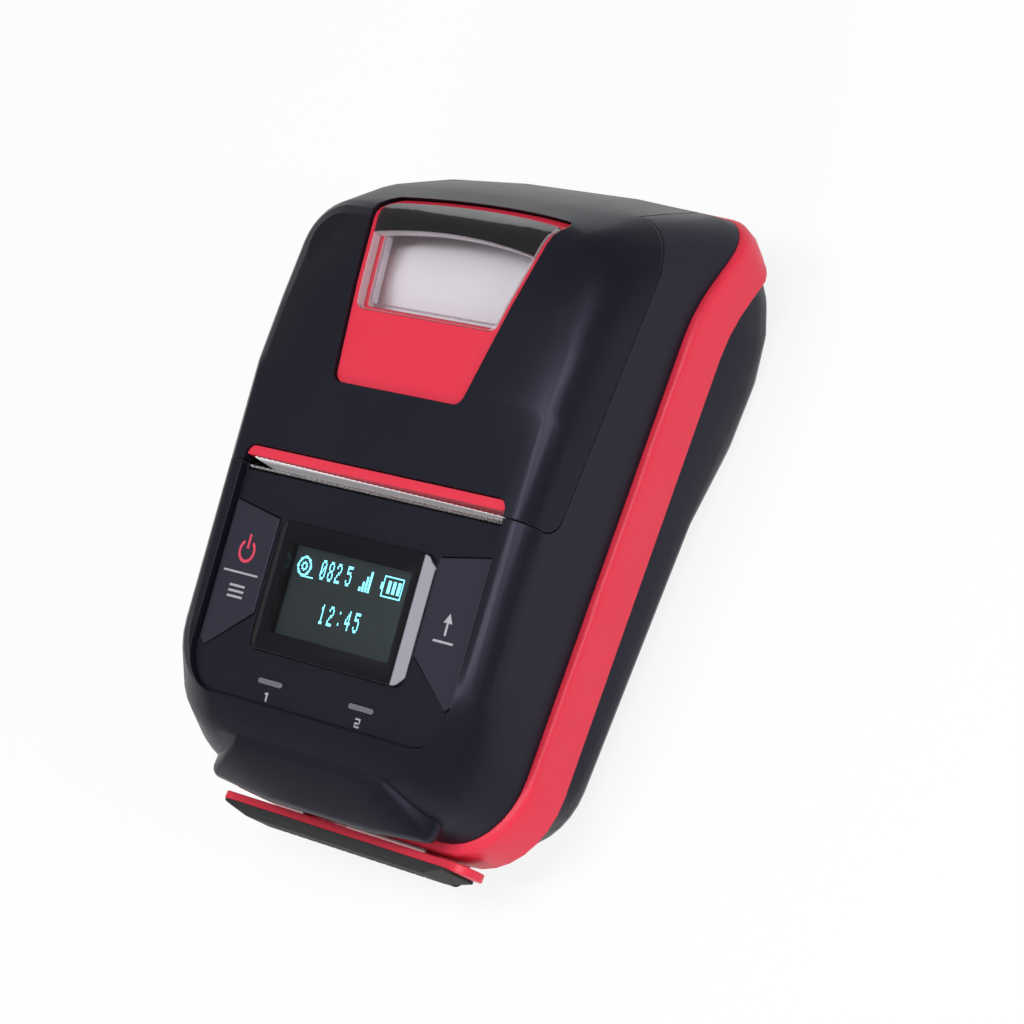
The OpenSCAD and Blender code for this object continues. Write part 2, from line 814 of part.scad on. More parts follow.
// Cover release: a sprung button whose nose faces the hole in the cover's catch tab
tab_x = [-half_w + 2.5, -half_w + 3.2];
bar_x = -half_w + 3.9;
tray_half = paper_w / 2 + 1.35;
release_mid = (release_y[0] + release_y[1]) / 2;
release_spring_z = release_z[0] - 2.9;
module release_button() {
    color(black) {
        span([-half_w - 0.7, release_y[0], release_z[0]], [-half_w + 0.5, release_y[1], release_z[1]]);
        for (y = [release_y[0] + 0.2, release_y[1] - 1.2])
            span([-half_w + 0.4, y, release_z[0] + 1], [bar_x + 0.7, y + 1, release_z[1] - 1.4]);
        span([bar_x, release_y[0] + 0.2, release_z[0] + 1],
            [bar_x + 0.7, release_y[1] - 0.2, release_z[1] - 1.4]);
        // nose, just clear of the catch tab so that both joints move freely
        span([tab_x[1] + 0.1, release_mid - 1.7, release_z[0] + 1.4],
            [bar_x + 0.1, release_mid + 1.7, release_z[1] - 1.8]);
        // seat of the spring
        span([bar_x - 0.5, release_mid - 2.2, release_spring_z - 2],
            [bar_x, release_mid + 2.2, release_z[0] + 1.2]);
    }
}

// A coil spring as one unbroken tube of 8 rings a turn and 6 sides, along +Z
function coil_point(r, pitch, t) = [r * cos(t * 360), r * sin(t * 360), pitch * t];
module coil(r, wire, turns, len) {
    rings = 8 * turns;
    pitch = (len - wire) / turns;
    gap = pitch * cos(22.5) - wire;
    echo(coil_gap = gap);
    points = [for (i = [0:rings]) for (k = [0:5])
        let (t = i / 8, a = k * 60)
            [(r + wire / 2 * cos(a)) * cos(t * 360), (r + wire / 2 * cos(a)) * sin(t * 360),
                wire / 2 + pitch * t + wire / 2 * sin(a)]];
    sides = [for (i = [0:rings - 1]) for (k = [0:5])
        let (a = 6 * i + k, b = 6 * i + (k + 1) % 6)
            each [[a, b, b + 6], [a, b + 6, a + 6]]];
    ends = concat([for (k = [1:4]) [0, k + 1, k]],
        [for (k = [1:4]) [6 * rings, 6 * rings + k, 6 * rings + k + 1]]);
    polyhedron(points, concat(sides, ends));
}

module release_spring() {
    color(steel)
        translate([bar_x + 0.05, release_mid, release_spring_z])
            rotate([0, 90, 0])
                coil(1.4, 0.3, 2.5, -bar_x - tray_half - 0.1);
}

// Print head: ceramic board on an aluminium bar that swings on a pin
nip_gap = 0.1;
head_y = platen_y - platen_d / 2 - strip_t - 2 * nip_gap;
head_t = 0.7;
head_bar_t = 2.6;
head_pin_y = head_y - head_t - head_bar_t / 2;
head_pin_z = 18.4;
head_pin_d = 2;
head_half = paper_w / 2 - 0.2;
head_top = platen_z + 4;
module head_board() {
    color([0.86, 0.84, 0.78])
        span([-head_half, head_y - head_t, head_pin_z + 2.5], [head_half, head_y, head_top]);
}

module head_heatsink() {
    color(steel)
        difference() {
            union() {
                span([-head_half, head_y - head_t - head_bar_t, head_pin_z + 0.6],
                    [head_half, head_y - head_t, head_top - 0.4]);
                rod(head_bar_t + 1.2, -head_half, head_half, head_pin_y, head_pin_z);
            }
            rod(head_pin_d + 2 * run_gap, -head_half - 1, head_half + 1, head_pin_y, head_pin_z);
        }
}

frame_x = tray_half + 0.15;
frame_t = 1;
module head_pin() {
    color(steel)
        rod(head_pin_d, -frame_x - frame_t, frame_x + frame_t, head_pin_y, head_pin_z);
}

head_back = head_y - head_t - head_bar_t;
frame_back = head_back - 4.4;
spring_z = platen_z - 2.4;
module head_springs() {
    color(steel)
        for (x = [-17, 17])
            translate([x, head_back - 0.1, spring_z])
                rotate([90, 0, 0])
                    coil(1.7, 0.4, 4, head_back - frame_back - 0.2);
}

// Flat cable from the head down to the main board
drop_y = head_pin_y - head_bar_t / 2 - 0.9;
module head_cable() {
    color([0.8, 0.6, 0.2])
        across(24)
            polygon([[head_back - 0.15, head_pin_z + 5.6], [drop_y - cable_t, head_pin_z + 3.9],
                [drop_y - cable_t, main_z + main_t + 0.9], [main_y1 - 1.8, main_z + main_t + cable_t],
                [main_y1 - 1.8, main_z + main_t], [drop_y, main_z + main_t + 0.55],
                [drop_y, head_pin_z + 3.7], [head_back - 0.15, head_pin_z + 5.1]]);
}

// Pressed steel frame: two side plates, a back wall and two feet
frame_y1 = 12;
frame_top = 30;
slot_w = 6.1;
module mechanism_frame() {
    color(steel)
        difference() {
            union() {
                for (s = [-1, 1]) {
                    translate([s * (frame_x + frame_t / 2), (frame_back - 1 + frame_y1) / 2,
                            (deck_z + frame_top) / 2])
                        cube([frame_t, frame_y1 - frame_back + 1, frame_top - deck_z], center = true);
                    // feet on the rear shell's deck
                    translate([s * (frame_x - 2.5), frame_back + 2.5, deck_z + frame_t / 2])
                        cube([7, 7, frame_t], center = true);
                }
                span([-frame_x - 0.5, frame_back - 1, main_z + main_t + 1.6],
                    [frame_x + 0.5, frame_back, platen_z - 0.3]);
                // fixed journal of the idler
                rod(3.4, frame_x, frame_x + frame_t, idler_y, idler_z);
            }
            // open slots that take the platen's bushes
            span([-40, platen_y - slot_w / 2, platen_z], [40, platen_y + slot_w / 2, 60]);
            rod(slot_w, -40, 40, platen_y, platen_z);
            rod(head_pin_d + 2 * run_gap, -40, 40, head_pin_y, head_pin_z);
            rod(motor_boss_d + 0.1, 0, 40, motor_y, motor_z);
            rod(idler_pin_d, 0, 40, idler_y, idler_z);
            for (s = [-1, 1])
                translate([s * (frame_x - 3.5), frame_back + 2.5, 0])
                    cylinder(d = 1.8, h = 40, $fn = round_fn);
        }
}

// Serrated tear bar on the slot's front edge
tear_t = 0.5;
tear_half = slot_half - 0.8;
tooth_pitch = 1.3;
tear_top = plane_z(seam_y) + 0.3;
teeth = floor(2 * tear_half / tooth_pitch);
module tear_bar() {
    color(steel)
        translate([0, seam_y - 0.3, 0])
            rotate([90, 0, 0])
                linear_extrude(tear_t)
                    polygon(concat([[-tear_half, plane_z(seam_y) - 3.6], [-tear_half, tear_top - 0.8]],
                        [for (k = [0:teeth - 1]) each
                            [[-tear_half + (k + 0.5) * 2 * tear_half / teeth, tear_top],
                                [-tear_half + (k + 1) * 2 * tear_half / teeth, tear_top - 0.8]]],
                        [[tear_half, plane_z(seam_y) - 3.6]]));
}

// Paper path: off the top of the roll, under the platen, up through the nip
path_r = platen_d / 2 + nip_gap + strip_t / 2;
roll_r_out = roll_d / 2;
reach = norm([roll_y - platen_y, roll_z - platen_z]);
path_a = atan2(roll_z - platen_z, roll_y - platen_y) + asin((path_r + roll_r_out) / reach);
function around(cy, cz, r, a) = [cy + r * cos(a), cz + r * sin(a)];
strip_lean = 0.3;
function strip_side(r) = concat(
    [around(roll_y, roll_z, roll_r_out + platen_d / 2 + nip_gap + strip_t - r + 0.02, path_a + 90)],
    [for (k = [0:8]) around(platen_y, platen_z, r, path_a - 90 - k * (path_a + 90) / 8)],
    [[platen_y - r, platen_z + 1], [platen_y - r + strip_lean * 0.2, plane_z(seam_y) - 3.5],
        [platen_y - r + strip_lean, plane_z(seam_y) + 1.3]]);
module paper_strip() {
    inner = strip_side(platen_d / 2 + nip_gap);
    outer = strip_side(platen_d / 2 + nip_gap + strip_t);
    last = len(inner) - 1;
    color(white)
        difference() {
            across(paper_w)
                polygon(concat(inner, [for (k = [0:last]) outer[last - k]]));
            // slanting torn edge with the bar's small teeth
            translate([0, 20, 0])
                rotate([90, 0, 0])
                    linear_extrude(40)
                        polygon(concat([for (k = [0:2 * teeth])
                            [-paper_w / 2 - 1 + k * (paper_w + 2) / (2 * teeth),
                                plane_z(seam_y) + 1 - 2.6 * k / (2 * teeth) - (k % 2 == 0 ? 0 : 0.35)]],
                            [[paper_w / 2 + 1, 50], [-paper_w / 2 - 1, 50]]));
        }
}

// Plastic guide under the paper, between the frame's side plates
guide_gap = 0.5;
guide_from = around(platen_y, platen_z, path_r + strip_t / 2 + guide_gap, path_a - 90);
module paper_guide() {
    color([0.16, 0.16, 0.18])
        difference() {
            across(2 * frame_x - 0.1)
                polygon([guide_from,
                    guide_from + 10 * [cos(path_a), sin(path_a)],
                    guide_from + 10 * [cos(path_a), sin(path_a)] + 1.2 * [sin(path_a), -cos(path_a)],
                    guide_from + 1.2 * [sin(path_a), -cos(path_a)]]);
            span([-4.1, guide_from[0] + 3.9, 0], [4.1, guide_from[0] + 8.1, 60]);
        }
}

module paper_sensor() {
    color([0.1, 0.1, 0.3])
        intersection() {
            span([-4, guide_from[0] + 4, 0], [4, guide_from[0] + 8, 60]);
            across(20)
                polygon([guide_from,
                    guide_from + 12 * [cos(path_a), sin(path_a)],
                    guide_from + 12 * [cos(path_a), sin(path_a)] + 2.2 * [sin(path_a), -cos(path_a)],
                    guide_from + 2.2 * [sin(path_a), -cos(path_a)]]);
        }
}

// Gears: pitch radii and the idler's place between motor and platen
function pitch_r(n) = gear_m * n / 2;
mesh_gap = 0.06;
motor_arm = pitch_r(pinion_n) + pitch_r(idler_big_n) + mesh_gap;
platen_arm = pitch_r(idler_small_n) + pitch_r(platen_n) + mesh_gap;
train = norm([platen_y - motor_y, platen_z - motor_z]);
train_a = atan2(platen_z - motor_z, platen_y - motor_y);
train_off = acos(min(1,
    (motor_arm * motor_arm + train * train - platen_arm * platen_arm) / (2 * motor_arm * train)));
idler_y = motor_y + motor_arm * cos(train_a - train_off);
idler_z = motor_z + motor_arm * sin(train_a - train_off);
idler_pin_d = 1.6;
gear_w = 1.1;
gear_step = 0.25;
gear_x0 = frame_x + frame_t + gear_step;
gear_x1 = gear_x0 + gear_w + gear_step;

module gear(n, h, bore, turn) {
    r = pitch_r(n);
    linear_extrude(h)
        difference() {
            rotate(turn)
                polygon([for (k = [0:n - 1]) for (q = [[-0.46, -1.2], [-0.3, 0], [-0.14, 0.85], [0.14, 0.85],
                        [0.3, 0], [0.46, -1.2]])
                    let (a = (k + q[0] * 0.82) * 360 / n, rr = r + gear_m * q[1])
                        [rr * cos(a), rr * sin(a)]]);
            circle(d = bore, $fn = round_fn);
        }
}

// Turn that meshes gear b with gear a: teeth and turn of a, way from a to b, teeth of b
function mesh_turn(na, turn, way, nb) = way + 180 - (0.5 - (way - turn) * na / 360) * 360 / nb;
idler_turn = mesh_turn(pinion_n, 0, atan2(idler_z - motor_z, idler_y - motor_y) - 90, idler_big_n);
platen_turn = mesh_turn(idler_small_n, 0, atan2(platen_z - idler_z, platen_y - idler_y) - 90, platen_n);

// Puts a gear's own Z along X, starting at x
module gear_at(x, y, z) {
    translate([x, y, z])
        rotate([0, 90, 0])
            rotate(180)
                children();
}

motor_len = 12;
motor_x0 = frame_x - motor_len;
motor_shaft_d = 1.5;
motor_boss_d = 3.6;
module stepper_motor() {
    color(steel)
        difference() {
            union() {
                rod(motor_d, motor_x0, frame_x - 0.05, motor_y, motor_z);
                rod(motor_boss_d, frame_x - 1, frame_x + frame_t, motor_y, motor_z);
            }
            rod(motor_shaft_d + 2 * run_gap, motor_x0 + 1, frame_x + 3, motor_y, motor_z);
        }
}

module motor_pinion() {
    color([0.8, 0.7, 0.3]) {
        rod(motor_shaft_d, motor_x0 + 1.5, gear_x0 + gear_w + 0.2, motor_y, motor_z);
        gear_at(gear_x0, motor_y, motor_z)
            gear(pinion_n, gear_w, 0.4, 0);
    }
}

module idler_gear() {
    color([0.9, 0.9, 0.85]) {
        gear_at(gear_x0, idler_y, idler_z)
            gear(idler_big_n, gear_w, idler_pin_d + 2 * run_gap, idler_turn);
        gear_at(gear_x1 - gear_step, idler_y, idler_z)
            gear(idler_small_n, gear_w + gear_step, idler_pin_d + 2 * run_gap, 0);
    }
}

module idler_pin() {
    color(steel) {
        rod(idler_pin_d, frame_x, gear_x1 + gear_w + 0.3, idler_y, idler_z);
        rod(2.4, gear_x1 + gear_w + 0.1, gear_x1 + gear_w + 0.4, idler_y, idler_z);
    }
}

platen_half = paper_w / 2 + 0.2;
module platen_roller() {
    color([0.12, 0.12, 0.12])
        difference() {
            rod(platen_d, -platen_half, platen_half, platen_y, platen_z);
            rod(shaft_d + 0.02, -platen_half - 1, platen_half + 1, platen_y, platen_z);
        }
}

module platen_shaft() {
    color(steel)
        rod(shaft_d, -frame_x - frame_t - 0.6, gear_x1 + gear_w + 0.1, platen_y, platen_z);
}

bush_d = 5.8;
module platen_bushes() {
    color([0.85, 0.83, 0.75])
        for (s = [-1, 1])
            mirror([s < 0 ? 1 : 0, 0, 0])
                difference() {
                    rod(bush_d, platen_half + 0.1, frame_x + frame_t + 0.1, platen_y, platen_z);
                    rod(shaft_d + 2 * run_gap, platen_half, frame_x + frame_t + 1, platen_y, platen_z);
                }
}

module platen_gear() {
    color([0.9, 0.9, 0.85])
        gear_at(gear_x1, platen_y, platen_z)
            gear(platen_n, gear_w, shaft_d + 0.02, platen_turn);
}

// Red inner cover: a lining with the slot's lip, the platen's ears and the catch
inner_t = 1.2;
lip_y = [seam_y + 1.15, seam_y + 2.75];
ear_x = [platen_half + 0.12, platen_half + 1.02];
view_edge = 0.9;
module inner_cover() {
    color(red)
        difference() {
            union() {
                difference() {
                    cover_form(wall + 0.15, 16);
                    cover_form(wall + 0.15 + inner_t, 16);
                    span([-big, -big, -big], [big, seam_y + 2.8, big]);
                    span([-big, roll_y + 6.5, -big], [big, big, big]);
                    span([-big, -big, -big], [big, big, seam_z + 1.5]);
                }
                // lip over the paper slot
                intersection() {
                    cover_form(0.45, 16);
                    span([-slot_half, lip_y[0], platen_z + 5.2], [slot_half, lip_y[1], 60]);
                    linear_extrude(60)
                        slot_outline(-0.15);
                }
                // ears that hold the platen's bushes
                intersection() {
                    cover_form(wall + 0.2, 16);
                    for (s = [-1, 1])
                        mirror([s < 0 ? 1 : 0, 0, 0]) {
                            span([ear_x[0], platen_y - 3.9, platen_z], [ear_x[1], platen_y + 3.9, 60]);
                            rod(7.8, ear_x[0], ear_x[1], platen_y, platen_z);
                        }
                }
                // catch tab
                intersection() {
                    cover_form(wall + 0.2, 16);
                    span([tab_x[0] + 0.1, release_mid - 3, release_z[0] - 0.3],
                        [tab_x[1], release_mid + 3, 60]);
                }
            }
            rod(bush_d + 0.06, -40, 40, platen_y, platen_z);
            // room for the platen gear
            rod(gear_m * (platen_n + 4), gear_x1 - 0.4, half_w, platen_y, platen_z);
            // catch hole
            span([-half_w, release_mid - 2, release_z[0] + 1.1],
                [-half_w + 4, release_mid + 2, release_z[1] - 1.5]);
            // view of the roll through the window
            translate([0, 0, 30])
                linear_extrude(30)
                    window_outline(-view_edge);
        }
}

// Plan outlines of the insert and its window; pad grows them
function insert_x(y) = insert_half + insert_spread * (y - insert_y);
end_arch = 1.5;
// A plate from y0 to y1 that spreads like the insert, with round corners and an arched end
module shield(y0, y1, edge, r) {
    x0 = insert_x(y0) - edge;
    x1 = insert_x(y1) - edge;
    offset(r = r, $fn = 32)
        offset(delta = -r)
            polygon(concat([[-x0, y0], [x0, y0]],
                [for (k = [-6:6]) [-x1 * k / 6, y1 - end_arch * pow(k / 6, 2)]]));
}

module insert_outline(pad) {
    shield(insert_y - pad, insert_end + pad, -pad, 2 + pad);
}

window_y0 = insert_y + 12.6;
window_edge = 1.3;
module window_outline(pad) {
    shield(window_y0 - pad, insert_end - window_edge + pad, window_edge - pad, max(1.6 + pad, 0.4));
}

// Plan outline of the paper slot; pad grows it
module slot_outline(pad) {
    hull()
        for (s = [-1, 1])
            translate([s * (slot_half - 2), seam_y + 0.9])
                circle(2.05 + pad, $fn = hull_fn);
}

// Room that the cover takes from the shell, with a round lower front corner
cover_r = 3;
module cover_room(gap) {
    across(big)
        translate([seam_y + gap, seam_z + gap]) {
            translate([cover_r, cover_r])
                circle(cover_r, $fn = round_fn);
            translate([0, cover_r])
                square([top_y + 9 - seam_y, 60]);
            translate([cover_r, 0])
                square([top_y + 9 - seam_y, 60]);
        }
}

thumb = 1;
module paper_cover() {
    color(black)
        difference() {
            union() {
                difference() {
                    cover_form(0);
                    cover_form(wall, 16);
                }
                // hinge barrels and the webs that join them to the end wall
                for (s = [-1, 1])
                    mirror([s < 0 ? 1 : 0, 0, 0]) {
                        rod(barrel_d, 7, tail_half, hinge_y, hinge_z);
                        intersection() {
                            cover_form(0.5, 16);
                            span([7, hinge_y - 1.2, hinge_z], [tail_half, top_y, hinge_z + 9]);
                        }
                    }
            }
            // all that belongs to the housing
            difference() {
                cube(2 * big, center = true);
                cover_room(seam_gap);
                difference() {
                    span([-tail_half, top_y - 15, tail_low], [tail_half, top_y + 5, 60]);
                    span([-big, -big, -big], [big, top_y - 9.5, seam_z + seam_gap]);
                }
                rod(barrel_d, 7, tail_half, hinge_y, hinge_z);
                rod(barrel_d, -tail_half, -7, hinge_y, hinge_z);
            }
            // paper slot with rounded ends
            translate([0, 0, 30])
                linear_extrude(20)
                    slot_outline(0);
            translate([0, 0, 20])
                linear_extrude(30)
                    insert_outline(seam_gap);
            rod(hinge_d + 2 * run_gap, -40, 40, hinge_y, hinge_z);
            // room for the hinge spring
            rod(2 * hinge_coil_r + 0.9, -7, 7, hinge_y, hinge_z);
            // shallow thumb recess on the left side over the release button
            span([-half_w - 1, release_y[0] - 1, seam_z - 5], [-half_w + thumb, release_y[1] + 1, 60]);
        }
}

insert_t = 1.25;
insert_depth = 0.75;
module cover_insert() {
    color(red)
        difference() {
            intersection() {
                difference() {
                    cover_form(insert_depth);
                    cover_form(insert_depth + insert_t);
                }
                translate([0, 0, 20])
                    linear_extrude(30)
                        insert_outline(0);
            }
            translate([0, 0, 20])
                linear_extrude(30)
                    window_outline(seam_gap / 2);
        }
}

skirt_t = 0.7;
module cover_window() {
    color([0.8, 0.85, 0.9, 0.5]) {
        intersection() {
            difference() {
                cover_form(0.3);
                cover_form(insert_depth + insert_t);
            }
            translate([0, 0, 20])
                linear_extrude(30)
                    window_outline(0);
        }
        // skirt that lines the view opening as far as the roll leaves room for it
        intersection() {
            difference() {
                cover_form(insert_depth + insert_t - 0.1);
                cover_form(wall + 0.15 + inner_t, 16);
                span([-big, roll_y + 6.5, -big], [big, big, big]);
            }
            translate([0, 0, 20])
                linear_extrude(30)
                    difference() {
                        window_outline(-view_edge - 0.06);
                        window_outline(-view_edge - 0.06 - skirt_t);
                    }
        }
    }
}

module hinge_pin() {
    color(steel)
        rod(hinge_d, -half_w + 3.9, half_w - 3.9, hinge_y, hinge_z);
}

// Torsion spring wound on the pin between the barrels
hinge_spring_len = 11;
hinge_coil_r = hinge_d / 2 + 0.35;
module hinge_spring() {
    color(steel)
        translate([-hinge_spring_len / 2, hinge_y, hinge_z])
            rotate([0, 90, 0])
                coil(hinge_coil_r, 0.4, 6, hinge_spring_len);
}

// Drop-in tray under the roll
tray_gap = 0.6;
tray_y0 = roll_y - roll_r_out - 1.4;
tray_y1 = roll_y + roll_r_out - 2.6;
tray_floor = wall + 0.05;
module roll_tray() {
    color([0.15, 0.15, 0.17])
        difference() {
            across(2 * tray_half)
                polygon([[tray_y0, 30], [tray_y0, tray_floor + lobe_step + 0.4], [tray_y0 + 5, tray_floor],
                    [tray_y1 - 9, tray_floor], [tray_y1, tray_floor + lobe_step + 0.6], [tray_y1, 30]]);
            rod(roll_d + 2 * tray_gap, -paper_w / 2 - 0.4, paper_w / 2 + 0.4, roll_y, roll_z + 0.3);
            span([-paper_w / 2 - 0.4, tray_y0 - 1, roll_z], [paper_w / 2 + 0.4, tray_y1 + 1, 60]);
            span([-tray_half - 1, tray_y1 - 9, roll_z - 3], [tray_half + 1, tray_y1 + 1, 60]);
            // recess round the screw posts
            at_posts()
                cylinder(d = post_d + 2, h = 40, $fn = round_fn);
        }
}

module paper_roll() {
    color(white)
        difference() {
            rod(roll_d, -paper_w / 2, paper_w / 2, roll_y, roll_z);
            rod(core_d + 0.1, -paper_w, paper_w, roll_y, roll_z);
        }
}

module roll_core() {
    color([0.7, 0.6, 0.45])
        difference() {
            rod(core_d, -paper_w / 2, paper_w / 2, roll_y, roll_z);
            rod(core_d - 2, -paper_w, paper_w, roll_y, roll_z);
        }
}

pack_y0 = bay_y0 + 0.4;
pack_y1 = pack_y0 + pack_len;
module battery_pack() {
    color([0.14, 0.14, 0.16])
        difference() {
            union() {
                span([-pack_half, pack_y0, 0.8], [pack_half, pack_y1, pack_h]);
                span([-pack_half + 1.5, pack_y0 + 1.5, 0], [pack_half - 1.5, pack_y1 - 1.5, 1]);
            }
            // notch for the latch and pockets for the contacts
            span([-5.3, pack_y0 - 1, latch_z - 0.2], [5.3, pack_y0 + latch_tongue, latch_z + latch_h + 0.2]);
            for (k = [-1.5:1.5])
                span([k * 3.6 - 1, pack_y1 - 0.3, 5.4], [k * 3.6 + 1, pack_y1 + 1, 8.6]);
            // grip flutes
            for (k = [-3:3])
                span([k * 3 - 0.6, pack_y0 + 4, -1], [k * 3 + 0.6, pack_y0 + 10, 0.6]);
        }
}

module battery_contacts() {
    color([0.85, 0.7, 0.3]) {
        span([-8, pack_y1 + 0.5, 5], [8, bay_y1 + 2.2, 9]);
        for (k = [-1.5:1.5])
            span([k * 3.6 - 0.7, pack_y1 + 0.05, 6], [k * 3.6 + 0.7, pack_y1 + 0.6, 8]);
    }
}

// Sliding latch in the end wall of the battery bay
latch_z = 7.6;
latch_h = 2.4;
latch_t = 1.1;
latch_tongue = 1.2;
module latch_room() {
    span([-5.2, bay_y0 - 3, latch_z - 0.15], [5.2, bay_y0 + 0.1, latch_z + latch_h + 0.15]);
    span([-2, bay_y0 - latch_t - latch_travel - 0.25, -1], [2, bay_y0 + 0.1, latch_z]);
}

module battery_latch() {
    color([0.7, 0.15, 0.2]) {
        span([-5, bay_y0 - latch_t, latch_z], [5, bay_y0 + latch_tongue, latch_z + latch_h]);
        span([-1.8, bay_y0 - latch_t, 3], [1.8, bay_y0 - 0.1, latch_z + 0.2]);
    }
}

module latch_spring() {
    color(steel)
        for (x = [-3.2, 3.2])
            translate([x, bay_y0 - latch_t - 0.1, latch_z + latch_h / 2])
                rotate([90, 0, 0])
                    coil(0.8, 0.25, 2, 2.9 - latch_t);
}

// Strap bail folded up against the bottom end
bail_y0 = band_y0 - bail_gap;
bail_y = bail_y0 - bail_t / 2;
bail_mid_z = band_top(end_y) - 3.7;
bail_pin_d = 1.6;
lug_t = 1.8;
module bail_lugs() {
    for (s = [-1, 1])
        for (d = [-1, 1])
            translate([s * bail_arm_x + d * (1.6 + lug_t / 2), 0, 0])
                difference() {
                    union() {
                        rod(4, -lug_t / 2, lug_t / 2, bail_y, bail_pivot_z);
                        span([-lug_t / 2, bail_y, bail_pivot_z - 2],
                            [lug_t / 2, end_y + 2.5, bail_pivot_z + 2]);
                    }
                    span([-lug_t, end_y + 2, -5], [lug_t, end_y + 5, 20]);
                }
}

module strap_bail() {
    color(red)
        difference() {
            union() {
                // bar with rounded ends
                translate([0, bail_y0, bail_mid_z])
                    rotate([90, 0, 0])
                        linear_extrude(bail_t)
                            rounded_rect(2 * bail_half, bail_h, 2.4);
                for (s = [-1, 1]) {
                    translate([s * bail_arm_x - 1.4, bail_y0 - bail_t, bail_pivot_z])
                        cube([2.8, bail_t, bail_mid_z - bail_pivot_z]);
                    rod(3.2, s * bail_arm_x - 1.4, s * bail_arm_x + 1.4, bail_y, bail_pivot_z);
                }
            }
            rod(bail_pin_d + 2 * run_gap, -40, 40, bail_y, bail_pivot_z);
        }
}

grip_z = bail_mid_z + bail_h / 2 + 1.4;
grip_h = bail_h + 1.6;
module bail_grip() {
    y0 = bail_y0 - bail_t;
    y1 = y0 - grip_t;
    color(black)
        difference() {
            across(2 * grip_half)
                polygon([[y0, grip_z], [y0 - grip_t / 2, grip_z], [y1, grip_z - 1.1],
                    [y1, grip_z - grip_h + 0.6], [y1 + 0.6, grip_z - grip_h], [y0, grip_z - grip_h]]);
            // ends cut back towards the outer face
            for (s = [0, 1])
                mirror([s, 0, 0])
                    linear_extrude(40)
                        polygon([[grip_half, y0 - 0.5], [grip_half + 1, y0], [grip_half + 1, y1 - 1],
                            [grip_half - 6, y1 - 1], [grip_half - 5, y1]]);
            // fine grip flutes on the outer face
            for (k = [-7:7])
                span([k * 2.4 - 0.3, y1 - 1, grip_z - grip_h - 1], [k * 2.4 + 0.3, y1 + 0.25, grip_z - 1.6]);
        }
}

module bail_pins() {
    color(steel)
        for (s = [-1, 1])
            rod(bail_pin_d, s * bail_arm_x - 1.6 - lug_t, s * bail_arm_x + 1.6 + lug_t, bail_y, bail_pivot_z);
}

// A pan-head screw pointing up, head at the bottom
module screw(d, head_d, head_h, len) {
    difference() {
        union() {
            cylinder(d = head_d, h = head_h, $fn = round_fn);
            cylinder(d = d, h = head_h + len, $fn = round_fn);
        }
        for (a = [0, 90])
            rotate(a)
                translate([0, 0, 0])
                    cube([head_d * 0.6, 0.4, head_h], center = true);
    }
}

module case_screws() {
    color(steel)
        at_posts()
            translate([0, 0, 6 - 1.4])
                screw(screw_d - 0.05, 3.6, 1.4, post_joint - 6 + 6);
}

module control_screws() {
    color(steel)
        on_panel()
            for (p = control_screw_at)
                translate([p[0], p[1], board_z - 0.8])
                    screw(1.5, 2.8, 0.8, 3.6);
}

module board_screws() {
    color(steel)
        for (p = board_screw_at)
            translate([p[0], p[1], main_z + main_t + 0.8])
                mirror([0, 0, 1])
                    screw(1.3, 2.6, 0.8, main_t + 1.6);
}

module frame_screws() {
    color(steel)
        for (s = [-1, 1])
            translate([s * (frame_x - 3.5), frame_back + 2.5, deck_z + frame_t + 0.8])
                mirror([0, 0, 1])
                    screw(1.7, 3, 0.8, frame_t);
}

front_shell();
rear_shell();
bumper_band();
display_window();
display_module();
control_board();
tact_switches();
mode_button();
feed_button();
power_light_pipe();
error_light_pipe();
main_board();
buzzer();
board_cable();
usb_port();
charge_jack();
port_cover();
release_button();
release_spring();
head_board();
head_heatsink();
head_pin();
head_springs();
head_cable();
mechanism_frame();
tear_bar();
paper_guide();
paper_sensor();
stepper_motor();
motor_pinion();
idler_gear();
idler_pin();
platen_roller();
platen_shaft();
platen_bushes();
platen_gear();
inner_cover();
paper_cover();
cover_insert();
cover_window();
hinge_pin();
hinge_spring();
roll_tray();
paper_roll();
roll_core();
paper_strip();
battery_pack();
battery_contacts();
battery_latch();
latch_spring();
strap_bail();
bail_grip();
bail_pins();
case_screws();
control_screws();
board_screws();
frame_screws();
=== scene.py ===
# %% [markdown]
# A pocket label printer lies on its back on a pale table. Every moving piece of it
# comes from a CAD model that MuJoCo can move, and this lesson gives those pieces
# their looks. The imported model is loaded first, so that each new piece can be placed
# by the same numbers, in metres. X runs across, Y towards the roll, Z out of the face.

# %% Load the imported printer
import json
import math

import bmesh
import bpy
import numpy as np
from mathutils import Matrix, Vector


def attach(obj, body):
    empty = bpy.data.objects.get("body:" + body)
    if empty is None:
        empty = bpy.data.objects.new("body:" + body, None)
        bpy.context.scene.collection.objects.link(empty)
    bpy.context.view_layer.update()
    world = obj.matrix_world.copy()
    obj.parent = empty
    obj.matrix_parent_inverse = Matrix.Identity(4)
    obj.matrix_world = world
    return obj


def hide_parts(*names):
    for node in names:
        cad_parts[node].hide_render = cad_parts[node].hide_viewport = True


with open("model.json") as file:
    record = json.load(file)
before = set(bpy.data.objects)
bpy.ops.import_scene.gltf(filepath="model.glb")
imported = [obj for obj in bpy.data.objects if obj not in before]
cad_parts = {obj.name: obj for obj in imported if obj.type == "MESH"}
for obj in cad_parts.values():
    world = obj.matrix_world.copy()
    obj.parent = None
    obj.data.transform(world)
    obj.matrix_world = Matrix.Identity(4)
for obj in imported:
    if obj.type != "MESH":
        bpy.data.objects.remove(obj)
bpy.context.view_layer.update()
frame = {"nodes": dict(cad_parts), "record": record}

body_of = {node: body for body, nodes in frame["record"]["behaviour"]["bodies"].items() for node in nodes}

